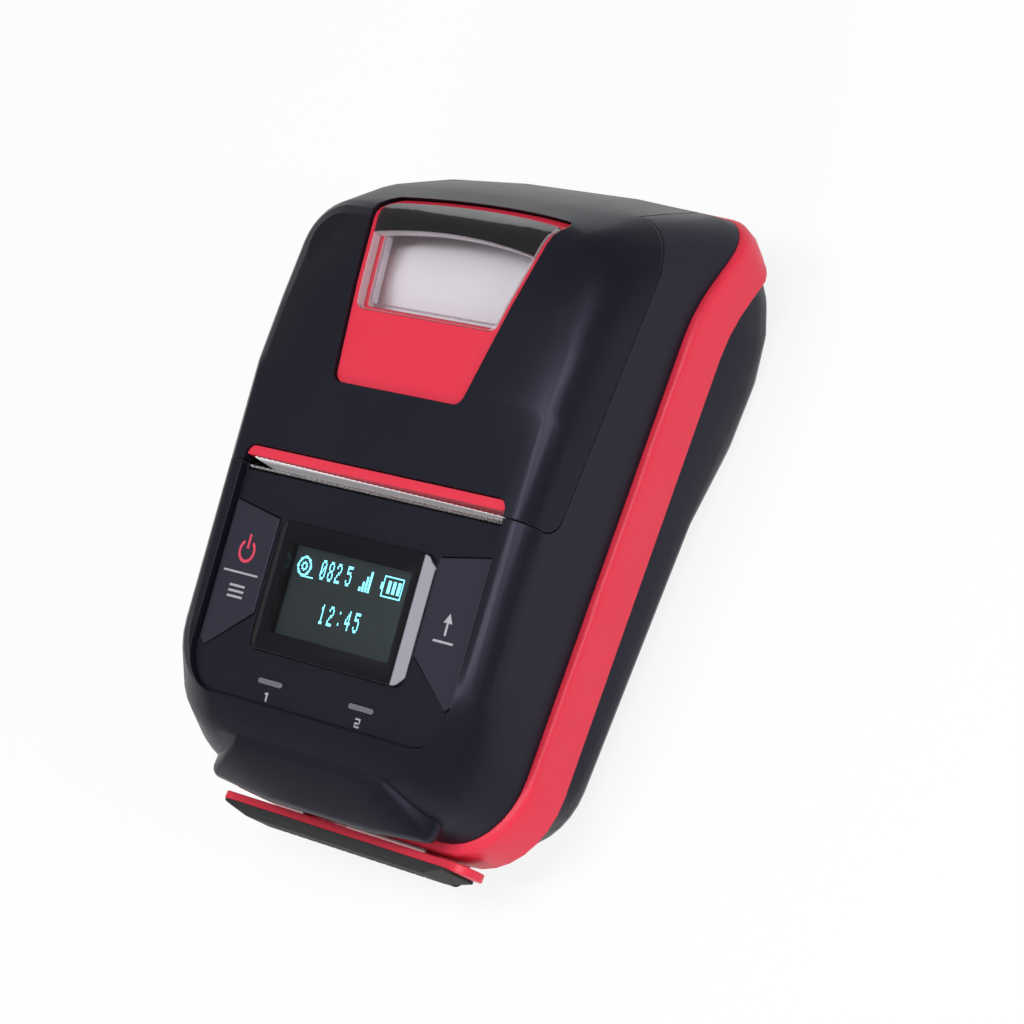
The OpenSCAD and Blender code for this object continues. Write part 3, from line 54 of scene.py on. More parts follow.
# %% [markdown]
# The face plate of the printer slopes by 8.8 degrees. Everything printed on it is laid
# out in its own flat frame, whose origin is the middle of the display, and one matrix
# carries that layout to its place. Sizes are written in millimetres there, because
# that is how a product designer thinks of a button or a symbol.

# %% The panel's own frame
MM = 0.001
SLOPE = math.radians(8.8)
DISPLAY_MIDDLE = (0, -22.35 * MM, 34 * MM)
panel = Matrix.Translation(DISPLAY_MIDDLE) @ Matrix.Rotation(SLOPE, 4, "X")


def on_panel(points, lift=0.0):
    """Panel points in millimetres, as places in the scene."""
    return [panel @ Vector((p[0] * MM, p[1] * MM, (p[2] if len(p) > 2 else lift) * MM)) for p in points]


print("display centre:", [round(v, 4) for v in on_panel([(0, 0)])[0]])

# %% [markdown]
# A long lens far away flattens perspective, which is how products are usually shot.
# The camera's place and directions were worked out once from the edges of the
# printer, and they are given here as plain numbers. A Blender camera looks along its
# own minus Z, so the third direction points back from the object to the lens.

# %% Camera
LENS_PLACE = (0.4667, -0.0982, 0.4568)
camera = bpy.data.objects.new("product_camera", bpy.data.cameras.new("product_camera"))
bpy.context.scene.collection.objects.link(camera)
bpy.context.scene.camera = camera
camera.data.sensor_width = 36
camera.data.lens = 140.6
camera.data.clip_end = 10
right = Vector((0.6862, 0.3679, -0.6275)).normalized()
back = Vector((0.7109, -0.1562, 0.6858))
up = back.cross(right).normalized()
back = right.cross(up)
camera.matrix_world = Matrix.Translation(LENS_PLACE) @ Matrix((right, up, back)).transposed().to_4x4()
print("camera distance:", round(camera.location.length, 3), "m")

# %% [markdown]
# Shader sums read better as Python than as chains of Math nodes. One small class
# wraps a socket, so that a sum on it adds the Math nodes by itself. Each operator
# comes with its reflected form, so that `1 - mask * 0.3` works as well. A second
# class holds a node tree and has one method that makes any other node. It serves
# materials and Geometry Nodes alike, because both are trees of nodes.

# %% A socket that can be used in sums
class Signal:
    def __init__(self, tree, socket):
        self.tree = tree
        self.socket = socket

    def math(self, operation, a, b=0.0):
        return self.tree.node("ShaderNodeMath", {"operation": operation}, {0: a, 1: b})

    def __add__(self, other):
        return self.math("ADD", self, other)

    def __radd__(self, other):
        return self.math("ADD", other, self)

    def __sub__(self, other):
        return self.math("SUBTRACT", self, other)

    def __rsub__(self, other):
        return self.math("SUBTRACT", other, self)

    def __mul__(self, other):
        return self.math("MULTIPLY", self, other)

    def __rmul__(self, other):
        return self.math("MULTIPLY", other, self)

    def __gt__(self, other):
        return self.math("GREATER_THAN", self, other)

    def __lt__(self, other):
        return self.math("LESS_THAN", self, other)

    def sine(self):
        return self.math("SINE", self)


# %% A tree of nodes with one way to make a node
class Tree:
    def __init__(self, nodes):
        self.nodes = nodes

    def node(self, kind, settings=None, inputs=None, out=0):
        """One node: its settings first, then the values or links of its sockets."""
        made = self.nodes.nodes.new(kind)
        for name, value in (settings or {}).items():
            setattr(made, name, value)
        for name, value in (inputs or {}).items():
            for one in value if isinstance(value, list) else [value]:
                if isinstance(one, Signal):
                    self.nodes.links.new(one.socket, made.inputs[name])
                else:
                    made.inputs[name].default_value = one
        return Signal(self, made.outputs[out])


# %% [markdown]
# A finish starts from one principled shader with its plain colour and gloss. What is
# the same all over the surface is set on the shader itself, and only what varies is
# fed to it. Every pattern reads Object coordinates, so it keeps its scale on pieces
# of any size and moves with them.

# %% Finishes
class Finish(Tree):
    def __init__(self, name, colour, roughness, metallic=0.0, **constants):
        self.material = bpy.data.materials.new(name)
        self.material.use_nodes = True
        super().__init__(self.material.node_tree)
        self.shader = self.nodes.nodes["Principled BSDF"]
        self.colour = (*colour, 1.0)
        self.material.diffuse_color = self.colour
        self.shader.inputs["Base Color"].default_value = self.colour
        self.shader.inputs["Roughness"].default_value = roughness
        self.shader.inputs["Metallic"].default_value = metallic
        for socket, value in constants.items():
            self.shader.inputs[socket.replace("_", " ")].default_value = value
        self.place = self.node("ShaderNodeTexCoord", out="Object")

    def feed(self, socket, signal):
        self.nodes.links.new(signal.socket, self.shader.inputs[socket])

    def surface(self, factor, other, slot=1):
        """A Mix Shader at the output: another shader in slot 1 or 2, the finish's own in the free one."""
        mix = self.node("ShaderNodeMixShader", None, {0: factor, slot: other}, "Shader")
        self.nodes.links.new(self.shader.outputs[0], mix.socket.node.inputs[3 - slot])
        self.nodes.links.new(mix.socket, self.nodes.nodes["Material Output"].inputs["Surface"])

    def noise(self, scale, detail=2.0, place=None):
        return self.node("ShaderNodeTexNoise", None, {
            "Vector": place or self.place, "Scale": scale, "Detail": detail, "Roughness": 0.55})

    def stretched(self, x, y, z):
        return self.node("ShaderNodeMapping", None, {"Vector": self.place, "Scale": (x, y, z)})

    def blend(self, factor, a, b):
        return self.node("ShaderNodeMix", {"data_type": "RGBA"}, {0: factor, 6: a, 7: b}, 2)

    def relief(self, height, depth, strength, edge=0.0):
        """Bumps of a depth in metres and, where asked, edges rounded in the shading."""
        sockets = {"Height": height, "Distance": depth, "Strength": strength}
        if edge:
            self.rounded = self.node("ShaderNodeBevel", {"samples": 4}, {"Radius": edge})
            sockets["Normal"] = self.rounded
        self.feed("Normal", self.node("ShaderNodeBump", None, sockets))

    def edges(self):
        """A mask that is light where the rounded normal leaves the true one."""
        true = self.node("ShaderNodeNewGeometry", out="Normal")
        return 1 - self.node("ShaderNodeVectorMath", {"operation": "DOT_PRODUCT"},
                             {0: self.rounded, 1: true}, "Value")


# %% [markdown]
# A moulded plastic has a fine spark-eroded grain, slightly uneven gloss, and edges
# that are rounded by a few tenths of a millimetre. The Bevel node gives that rounding
# in the shading, and comparing its normal with the true one finds the edges, where
# handling polishes and lightens the plastic. The two outer blacks mirror light with a
# cool tint, which is set on the shader, because a bluer base would look dyed.

# %% How a moulded finish is made
def lighter(colour, by):
    return tuple(min(1.0, c + (1 - c) * by) for c in colour[:3]) + (1.0,)


def tell(kind, *finishes):
    print(kind + ":", ", ".join(finish.name for finish in finishes))


def moulded(name, colour, roughness, grain=1700, depth=0.00002, edge=0.0003, wear=0.04, **constants):
    f = Finish(name, colour, roughness, **constants)
    f.relief(f.noise(grain), depth, strength=0.55, edge=edge)
    cloud = f.noise(45, detail=4)
    f.feed("Roughness", roughness - 0.05 + cloud * 0.1)
    worn = f.edges() * 1.6 + cloud * 0.12
    f.feed("Base Color", f.blend(worn, f.colour, lighter(colour, wear)))
    return f.material


# %% Moulded plastics
COOL = (0.72, 0.72, 1.0, 1.0)
black_plastic = moulded("black_plastic", (0.006, 0.006, 0.011), 0.38, wear=0.02,
                        Specular_IOR_Level=0.28, Specular_Tint=COOL)
panel_plastic = moulded("panel_plastic", (0.02, 0.02, 0.031), 0.46, wear=0.02,
                        Specular_IOR_Level=0.3, Specular_Tint=COOL)
red_plastic = moulded("red_plastic", (0.66, 0.024, 0.055), 0.4, depth=0.000012, wear=0.08,
                      Specular_IOR_Level=0.35)
inner_plastic = moulded("inner_plastic", (0.018, 0.018, 0.02), 0.55, grain=1200)
rubber = moulded("rubber", (0.014, 0.014, 0.015), 0.72, grain=2600, depth=0.00003, wear=0.03)
acetal = moulded("acetal", (0.78, 0.75, 0.66), 0.4, depth=0.00001, Subsurface_Weight=0.1,
                 Subsurface_Radius=(0.001, 0.001, 0.001))
chip_black = moulded("chip_black", (0.02, 0.02, 0.02), 0.6, grain=3000)
tell("moulded", black_plastic, panel_plastic, red_plastic, inner_plastic, rubber, acetal, chip_black)

# %% [markdown]
# Rolled steel keeps long fine scratches from the mill. Noise that is stretched along
# one axis gives them, both in the gloss and as a very shallow relief. A drawn wire or
# a turned shaft takes the same finish, because its scratches run along it too. Those
# of the aluminium heatsink run along Y.

# %% Metals
ALONG_X = (40, 2600, 2600)
ALONG_Y = (2600, 40, 2600)


def metal(name, colour, roughness, along=ALONG_X):
    f = Finish(name, colour, roughness, metallic=1.0)
    scratches = f.noise(1, detail=3, place=f.stretched(*along))
    f.relief(scratches, depth=0.000006, strength=0.5, edge=0.00015)
    f.feed("Roughness", roughness - 0.1 + scratches * 0.22)
    f.feed("Base Color", f.blend(f.noise(120, detail=3), f.colour, lighter(colour, 0.15)))
    return f.material


steel = metal("steel", (0.56, 0.57, 0.59), 0.32)
aluminium = metal("aluminium", (0.74, 0.75, 0.77), 0.36, ALONG_Y)
brass = metal("brass", (0.72, 0.5, 0.2), 0.3)
dark_steel = metal("dark_steel", (0.1, 0.1, 0.11), 0.45)
bright_steel = metal("bright_steel", (0.85, 0.85, 0.86), 0.25)
tell("metals", steel, aluminium, brass, dark_steel, bright_steel)

# %% [markdown]
# Thermal paper is smooth, but not flat: fibres show as a faint cloud. The edge of a
# roll shows its wound layers as fine rings round the axis. The rings come from the
# distance to the axis, so they stay round however the roll is turned. The single strip
# stands in the shade of the slot, and a weak emission paints a glow on it, standing in
# part for the light that paper lets through. The thick roll gets a faint painted glow
# that lifts it where the cover shades it, and its card core has none.

# %% Paper and card
ROLL_AXIS = (0, 0.032, 0.020)
RING_RATE = 26000  # radians in each metre of radius, so a ring is 0.24 mm wide


def paper_finish(name, colour, ringed, painted_glow=0.0):
    f = Finish(name, colour, roughness=0.55, Specular_IOR_Level=0.35,
               Emission_Color=(*colour, 1), Emission_Strength=painted_glow)
    fibre = f.noise(900, detail=5)
    height = fibre
    if ringed:
        across = f.node("ShaderNodeVectorMath", {"operation": "SUBTRACT"},
                        {0: f.stretched(0, 1, 1), 1: ROLL_AXIS})
        radius = f.node("ShaderNodeVectorMath", {"operation": "LENGTH"}, {0: across}, "Value")
        layer = (radius * RING_RATE).sine()
        height = fibre * 0.3 + layer * 0.5
        f.feed("Base Color", f.blend(layer * 0.12 + 0.06, f.colour, (*[c * 0.72 for c in colour], 1)))
    else:
        f.feed("Base Color", f.blend(fibre * 0.2, f.colour, (*[c * 0.9 for c in colour], 1)))
    f.relief(height, depth=0.00002, strength=0.4)
    return f.material


# A painted glow lifts the strip and the roll out of the shade they sit in.
paper = paper_finish("paper", (0.84, 0.82, 0.86), ringed=False, painted_glow=0.16)
wound_paper = paper_finish("wound_paper", (0.82, 0.8, 0.83), ringed=True, painted_glow=0.03)
cardboard = paper_finish("cardboard", (0.42, 0.31, 0.2), ringed=True)
tell("papers", paper, wound_paper, cardboard)

# %% [markdown]
# A circuit board is green lacquer over copper tracks, which stand a little proud and
# look paler. The mortar of a brick pattern makes such tracks. A ribbon cable has
# straight copper lanes under amber film, and a wave pattern cut off at a level gives
# them hard edges. The print head's ceramic is nearly smooth, so it takes the moulded
# finish with a low roughness and a very shallow grain.

# %% Boards, ribbon cable and ceramic
def board_finish():
    f = Finish("board", (0.012, 0.11, 0.04), roughness=0.35)
    track = f.node("ShaderNodeTexBrick", {"offset": 0.5}, {
        "Vector": f.place, "Scale": 260.0, "Mortar Size": 0.03, "Color1": (0, 0, 0, 1),
        "Color2": (0, 0, 0, 1), "Mortar": (1, 1, 1, 1)}, "Fac")
    f.feed("Base Color", f.blend(track * 0.6, f.colour, (0.03, 0.24, 0.09, 1)))
    f.relief(track, depth=0.00003, strength=0.6)
    f.feed("Roughness", 0.3 + f.noise(200) * 0.15)
    return f.material


def ribbon_finish():
    f = Finish("ribbon", (0.5, 0.24, 0.04), roughness=0.28)
    lanes = f.node("ShaderNodeTexWave", {"bands_direction": "X"}, {"Vector": f.place, "Scale": 160.0}, "Fac")
    f.feed("Base Color", f.blend((lanes > 0.55) * 0.8, f.colour, (0.62, 0.36, 0.12, 1)))
    f.relief(lanes, depth=0.00002, strength=0.5)
    return f.material


board = board_finish()
ribbon = ribbon_finish()
ceramic = moulded("ceramic", (0.72, 0.67, 0.55), 0.18, grain=700, depth=0.000006, wear=0.02)
tell("electric", board, ribbon, ceramic)

# %% [markdown]
# A clear moulding lets most light through and mirrors a little more towards its
# grazing edges. Mixing a transparent and a glossy shader by Fresnel keeps the piece
# behind it bright, which a refracting solid would darken. The real window is so thin
# that its refraction hardly shows. Its back faces mirror next to nothing, so that a
# sheet shows one highlight and not two.

# %% Clear plastic
def clear(name, tint, base, gain):
    f = Finish(name, (1, 1, 1), roughness=0.06, metallic=1.0)
    see = f.node("ShaderNodeBsdfTransparent", None, {"Color": (*tint, 1)}, "BSDF")
    inside = f.node("ShaderNodeNewGeometry", out="Backfacing")
    facing = f.node("ShaderNodeFresnel", None, {"IOR": 1.5}) * (1 - inside)
    scuff = f.noise(300, detail=4) * 0.03
    f.feed("Roughness", 0.04 + f.noise(150, detail=3) * 0.06)
    f.surface(base + facing * gain + scuff, see)
    return f.material


clear_plastic = clear("clear_plastic", (0.985, 0.98, 0.99), base=0.02, gain=0.8)
# A dark tint for the window's bent end paints in the shade of the dark inside below it.
smoked_plastic = clear("smoked_plastic", (0.1, 0.07, 0.09), base=0.03, gain=0.8)
pane = clear("pane", (0.97, 0.98, 0.98), base=0.0, gain=0.3)
tell("clear", clear_plastic, smoked_plastic, pane)

# %% [markdown]
# The side walls of the same moulding come from the tool with a fine matt skin, which
# hides about half of what lies behind. A plain pale shader mixed with a transparent
# one gives that milky look, and it renders faster than light scattered inside.

# %% Matt walls of the clear plastic
def frosted(name, colour, cover):
    f = Finish(name, colour, roughness=0.3)
    see = f.node("ShaderNodeBsdfTransparent", None, {"Color": (0.9, 0.88, 0.9, 1)}, "BSDF")
    f.feed("Roughness", 0.22 + f.noise(400, detail=3) * 0.14)
    f.surface(cover + f.noise(260, detail=4) * 0.1, see)
    return f.material


# On the window's bevelled edges this pale finish paints a thin highlight line.
rim_plastic = frosted("rim_plastic", (0.74, 0.69, 0.74), cover=0.5)
tell("matt", rim_plastic)

# %% [markdown]
# The display's dots give light of their own, so emission keeps them bright whatever
# the lamps do. The power sign is printed red ink, and a weaker emission paints a glow
# into it. The light pipes are unlit grey plastic, and the printed marks are a dull ink.
# The display window is very glossy, because it is polished acrylic that is printed
# black from behind, and the walls of its clear field are matt black.

# %% Lit glyphs, light pipes, ink and gloss
def glowing(name, colour, strength):
    f = Finish(name, colour, roughness=0.4, Emission_Strength=strength)
    f.feed("Emission Color", f.blend(f.noise(900, detail=1) * 0.25, f.colour, lighter(f.colour, 0.3)))
    return f.material


glyph_light = glowing("glyph_light", (0.22, 0.82, 0.98), 1.0)
# The power sign's red ink, with a weak painted glow.
power_red = glowing("power_red", (0.5, 0.03, 0.07), 0.35)
light_plastic = moulded("light_plastic", (0.12, 0.12, 0.155), 0.25, grain=600, depth=0.00001, wear=0.1)
print_ink = moulded("print_ink", (0.38, 0.38, 0.43), 0.5, grain=4000, depth=0.000004, wear=0.02)
window_gloss = moulded("window_gloss", (0.002, 0.002, 0.004), 0.09, grain=90, depth=0.000002, wear=0.02,
                       Specular_IOR_Level=0.42, Specular_Tint=(0.88, 0.88, 1.0, 1.0))
matt_black = moulded("matt_black", (0.002, 0.002, 0.003), 0.9, grain=900, wear=0.01, Specular_IOR_Level=0.05)
tell("panel", glyph_light, power_red, light_plastic, print_ink, window_gloss, matt_black)

# %% [markdown]
# The CAD pieces arrive as loose triangles with hard facets. A welded copy is shaded
# smooth wherever two faces meet at a small angle. The copy stands for the CAD piece,
# whose own mesh is never changed, and rides on the same body.

# %% Welded copies of the CAD pieces
def settled(piece):
    """The piece with its modifiers made part of its mesh."""
    shape = bpy.data.meshes.new_from_object(piece.evaluated_get(bpy.context.evaluated_depsgraph_get()))
    piece.modifiers.clear()
    piece.data = shape
    return piece


def welded(node):
    """The CAD node's mesh in a bmesh, with its doubles merged."""
    form = bmesh.new()
    form.from_mesh(frame["nodes"][node].data)
    bmesh.ops.remove_doubles(form, verts=form.verts, dist=1e-6)
    bmesh.ops.dissolve_degenerate(form, dist=1e-7, edges=form.edges)
    return form


def new_piece(name, form, finish, smooth=35):
    """A bmesh as an object with one finish, shaded smooth below an angle in degrees."""
    shape = bpy.data.meshes.new(name)
    form.to_mesh(shape)
    form.free()
    shape.shade_smooth()
    shape.set_sharp_from_angle(angle=math.radians(smooth))
    shape.materials.append(finish)
    piece = bpy.data.objects.new(name, shape)
    bpy.context.scene.collection.objects.link(piece)
    return piece


# %% [markdown]
# No real edge is knife sharp, and the thin highlight along it makes a piece look
# solid. A bevel cuts that narrow face where a piece asks for it. Weighted normals
# follow the larger faces, so broad faces stay flat and only the edges look round.

# %% A bevel, and weighted normals
def bevelled(piece, width, segments, angle):
    """A live bevel on the edges that are sharper than an angle in degrees."""
    bevel = piece.modifiers.new("edge", "BEVEL")
    bevel.width = width
    bevel.segments = segments
    bevel.limit_method = "ANGLE"
    bevel.angle_limit = math.radians(angle)
    return bevel


def weigh(piece):
    """The piece with normals that follow its larger faces."""
    weighted = piece.modifiers.new("weighted", "WEIGHTED_NORMAL")
    weighted.mode = "FACE_AREA"
    weighted.keep_sharp = True
    weighted.weight = 60
    return settled(piece)


# %% [markdown]
# The shells and the cover are one flowing skin on the real printer, but in CAD they
# are flat facets. Long edges are divided, every normal is averaged with those of its
# neighbours many times over, and the result is kept as the mesh's own normals. The
# form and its outline stay, and only the shading flows. Sharp edges are split in a
# copy first, so that they stop the averaging.

# %% Soften the shading of a faceted skin
def soften(piece, turns, sharp=32, step=0.0018, rounds=6):
    """Spread each normal over its neighbours, up to the edges sharper than an angle."""
    form = bmesh.new()
    form.from_mesh(piece.data)
    for _ in range(rounds):
        long = [edge for edge in form.edges if edge.calc_length() > step]
        if not long:
            break
        bmesh.ops.subdivide_edges(form, edges=long, cuts=1)
        bmesh.ops.triangulate(form, faces=form.faces)
    form.to_mesh(piece.data)
    creases = [edge for edge in form.edges if edge.calc_face_angle(0) > math.radians(sharp)]
    bmesh.ops.split_edges(form, edges=creases)
    apart = bpy.data.meshes.new("apart")
    form.to_mesh(apart)
    form.free()
    normals = np.zeros((len(apart.vertices), 3), np.float32)
    apart.vertex_normals.foreach_get("vector", normals.ravel())
    ends = np.zeros((len(apart.edges), 2), np.int32)
    apart.edges.foreach_get("vertices", ends.ravel())
    corners = np.zeros(len(apart.loops), np.int32)
    apart.loops.foreach_get("vertex_index", corners)
    for _ in range(turns):
        total = normals.copy()
        np.add.at(total, ends[:, 0], normals[ends[:, 1]])
        np.add.at(total, ends[:, 1], normals[ends[:, 0]])
        normals = total / np.maximum(np.linalg.norm(total, axis=1, keepdims=True), 1e-9)
    piece.data.shade_smooth()
    piece.data.normals_split_custom_set(normals[corners].tolist())
    bpy.data.meshes.remove(apart)
    return piece


# %% [markdown]
# One function dresses a CAD piece: it welds the copy, gives it the finish, bevels its
# edges where asked, and smooths it in one of the two ways above. Nearly every piece
# goes through it, so they are all treated alike. The large skins come first, each
# with the number of averaging turns that its curves need.

# %% Dress the shells, the band and the cover
def dress(node, finish, edge=0.0, turns=0, sharp=32):
    form = welded(node)
    if edge:
        bmesh.ops.dissolve_limit(form, angle_limit=math.radians(1), verts=form.verts, edges=form.edges)
    for face in form.faces:
        face.material_index = 0
    piece = new_piece(node + "_skin", form, finish)
    if edge:
        bevelled(piece, edge, segments=2, angle=40)
    piece = soften(piece, turns, sharp) if turns else weigh(piece)
    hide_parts(node)
    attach(piece, body_of[node])
    return piece


SKINS = (  # node, finish, turns of averaging, angle of a sharp edge in degrees
    ("front_shell", black_plastic, 40, 50), ("rear_shell", black_plastic, 14, 40),
    ("bumper_band", red_plastic, 10, 32), ("paper_cover", black_plastic, 140, 50),
    ("inner_cover", red_plastic, 6, 32), ("cover_insert", red_plastic, 10, 32),
    ("release_button", black_plastic, 3, 32))
for node, finish, turns, sharp in SKINS:
    made = dress(node, finish, turns=turns, sharp=sharp)
    print(node, "faces", len(made.data.polygons))

# %% [markdown]
# The paper window is one clear moulding. Its far end bends down towards the hinge, and a
# dark tint there paints in the shade of the dark inside below the bend. Its side walls are
# matt, as they come from the mould. A tall prism with an arched edge parts the window at
# the bend with a boolean, and a hair's breadth between the parts reads as the moulded
# step. Upright faces get the matt look, and the bevelled edges take the same pale matt
# finish, which paints a thin highlight along them.

# %% The prism that parts the paper window
BEND_Y = 38.6
BEND_SAG = 1.5
HALF_WINDOW = 18.8
PRISM_X = 24
PRISM_Y = 20
PRISM_TOP = 0.05
ARCH_STEP = 3


def arched_prism(bend):
    """All that lies nearer than the bend, as a tall prism with an arched far side."""
    across = [ARCH_STEP * k for k in range(8, -9, -1)]
    arch = [(x, bend - BEND_SAG * (x / HALF_WINDOW) ** 2) for x in across]
    form = bmesh.new()
    outline = [(-PRISM_X, PRISM_Y), (PRISM_X, PRISM_Y)] + arch
    form.faces.new([form.verts.new((x * MM, y * MM, 0)) for x, y in outline])
    tall = bmesh.ops.extrude_face_region(form, geom=form.faces[:])["geom"]
    raised = [v for v in tall if isinstance(v, bmesh.types.BMVert)]
    bmesh.ops.translate(form, vec=(0, 0, PRISM_TOP), verts=raised)
    bmesh.ops.recalc_face_normals(form, faces=form.faces)
    return form


def combined(piece, operation, tool):
    """A live boolean between a piece and a tool."""
    cut = piece.modifiers.new("cut", "BOOLEAN")
    cut.operation = operation
    cut.object = tool
    cut.solver = "EXACT"
    return cut


# %% Parts of the paper window
CLEAR, SHADE_TINTED, MATT = range(3)
UPRIGHT = 0.05
RIM_WIDTH = 0.00022


def window_piece(name, form):
    """A piece with slots for the window's three finishes."""
    piece = new_piece(name, form, clear_plastic)
    piece.data.materials.append(smoked_plastic)
    piece.data.materials.append(rim_plastic)
    return piece


def window_part(operation, bend, slot):
    part = window_piece("window_part", welded("cover_window"))
    tool = new_piece("prism", arched_prism(bend), clear_plastic)
    combined(part, operation, tool)
    settled(part)
    bpy.data.objects.remove(tool)
    for face in part.data.polygons:
        face.material_index = MATT if abs(face.normal.z) < UPRIGHT else slot
    # The bevel faces take the pale matt finish: a painted highlight line along the edges, on top of the real
    # glint a bevel catches.
    bevelled(part, RIM_WIDTH, segments=1, angle=60).material = MATT
    return settled(part)


# %% Paper window: clear field, shade-tinted end and matt walls
STEP_WIDTH = 0.15
window_form = bmesh.new()
# The far part takes the dark tint, a painted shade of the dark inside.
for part in (window_part("INTERSECT", BEND_Y, CLEAR), window_part("DIFFERENCE", BEND_Y + STEP_WIDTH, SHADE_TINTED)):
    window_form.from_mesh(part.data)
    bpy.data.objects.remove(part)
paper_window = soften(window_piece("cover_window_skin", window_form), turns=10)
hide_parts("cover_window")
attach(paper_window, body_of["cover_window"])
print("paper window faces:", len(paper_window.data.polygons))

# %% [markdown]
# The display sits behind a glossy black window with a clear field in the middle. The
# field is cut out of the black piece with a boolean, a thin pane fills it, and the
# display's own face lies just below, so that the glyphs have real depth behind it. The
# walls of the cut take the cutter's matt black, because glossy ones mirror the lamps.

# %% Display window and its clear field
LIT_X = 14.7
LIT_Y = 7.35
PANE_GAP = 0.02
BOX_FACES = ((3, 2, 1, 0), (4, 5, 6, 7), (0, 1, 5, 4), (1, 2, 6, 5), (2, 3, 7, 6), (3, 0, 4, 7))


def panel_box(half_x, half_y, low, high):
    """A box about the middle of the display, in the panel's millimetres."""
    form = bmesh.new()
    corners = [(x, y, z) for z in (low, high)
               for x, y in ((-half_x, -half_y), (half_x, -half_y), (half_x, half_y), (-half_x, half_y))]
    verts = [form.verts.new(p) for p in on_panel(corners)]
    for face in BOX_FACES:
        form.faces.new([verts[i] for i in face])
    return form


window = new_piece("display_window_skin", welded("display_window"), window_gloss, 30)
field = new_piece("field_cutter", panel_box(LIT_X, LIT_Y, low=-3, high=3), matt_black)
combined(window, "DIFFERENCE", field).material_mode = "TRANSFER"
window = weigh(window)
bpy.data.objects.remove(field)
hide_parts("display_window")
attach(window, "housing")

pane_form = panel_box(LIT_X - PANE_GAP, LIT_Y - PANE_GAP, low=-0.5, high=0.79)
clear_field = new_piece("display_pane", pane_form, pane)
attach(clear_field, "housing")
print("window faces:", len(window.data.polygons))

# %% [markdown]
# The display is a grid of 128 by 64 small square dots. Digits are written as rows of
# a five by seven dot font, stretched to twice the height as such displays do, and the
# roll, signal and battery signs follow simple rules. Working out the lit dots first,
# as plain columns and rows, keeps the drawing apart from the geometry.

# %% Digits in dots
DIGITS = {
    "0": "01110 10001 10011 10101 11001 10001 01110", "1": "00100 01100 00100 00100 00100 00100 01110",
    "2": "01110 10001 00001 00110 01000 10000 11111", "4": "00010 00110 01010 10010 11111 00010 00010",
    "5": "11111 10000 11110 00001 00001 10001 01110", "8": "01110 10001 10001 01110 10001 10001 01110",
    ":": "00000 00100 00000 00000 00000 00100 00000"}


def written(text, column, row, advance=8):
    """Lit dots of a text in double height, from its upper left corner."""
    dots = []
    for place, sign in enumerate(text):
        for down, line in enumerate(DIGITS[sign].split()):
            for across, lit in enumerate(line):
                if lit == "1":
                    x = column + place * advance + across
                    y = row + 2 * down
                    dots += [(x, y), (x, y + 1)]
    return dots


# %% Signs in dots
def roll_sign(column, row):
    """Two rings and a strip: a paper roll seen from its end."""
    ring = [(x, y) for x in range(15) for y in range(15)
            if 5.6 < math.hypot(x - 7, y - 7) < 7.2 or 1.8 < math.hypot(x - 7, y - 7) < 3.1]
    return [(column + x, row + y) for x, y in ring + [(x, 14) for x in range(7, 19)]]


def battery_sign(column, row):
    """A cell with three bars of charge."""
    shell = [(x, y) for x in range(20) for y in range(15) if x in (0, 19) or y in (0, 14)]
    shell += [(x, y) for x in (-2, -1) for y in range(5, 10)]
    bars = [(x + k, y) for x in (5, 10, 15) for k in (0, 1, 2) for y in range(3, 12)]
    return [(column + x, row + y) for x, y in shell + bars]


def signal_sign(column, row):
    """Four bars that grow to the right."""
    return [(column + 3 * n + k, row + 14 - y) for n in range(4) for k in (0, 1) for y in range(3 + 4 * n)]


# %% Which dots are lit
lit = (roll_sign(4, 6) + written("082", 29, 6) + written("5", 56, 6) + signal_sign(71, 6)
       + battery_sign(94, 6) + written("12:45", 40, 36, advance=9))
print("lit dots:", len(lit))

# %% [markdown]
# Every Geometry Nodes tree of this scene starts and ends alike: it takes points, sets
# something on each, makes the copies real and gives them their material. One helper
# builds that frame with named inputs for the sizes. Another sets the sizes, runs the
# tree on a bare mesh of points and keeps only the plain mesh that comes out.

# %% Geometry Nodes helpers
class Growth(Tree):
    """A Geometry Nodes tree with named sizes."""

    def __init__(self, name, sizes):
        super().__init__(bpy.data.node_groups.new(name, "GeometryNodeTree"))
        self.sizes = sizes
        face = self.nodes.interface
        face.new_socket("Geometry", in_out="INPUT", socket_type="NodeSocketGeometry")
        for size, value in sizes.items():
            face.new_socket(size, in_out="INPUT", socket_type="NodeSocketFloat").default_value = value
        face.new_socket("Geometry", in_out="OUTPUT", socket_type="NodeSocketGeometry")
        self.inlet = self.nodes.nodes.new("NodeGroupInput")
        self.outlet = self.nodes.nodes.new("NodeGroupOutput")

    def size(self, name):
        return Signal(self, self.inlet.outputs[name])

    def vector(self, x, y, z):
        return self.node("ShaderNodeCombineXYZ", None, {0: x, 1: y, 2: z})

    def finish_with(self, instance, material, turn=(0, 0, 0)):
        copies = self.node("GeometryNodeInstanceOnPoints", None, {
            "Points": self.size("Geometry"), "Instance": instance, "Rotation": turn})
        real = self.node("GeometryNodeRealizeInstances", None, {0: copies})
        dressed = self.node("GeometryNodeSetMaterial", None, {"Geometry": real, "Material": material})
        self.nodes.links.new(dressed.socket, self.outlet.inputs[0])


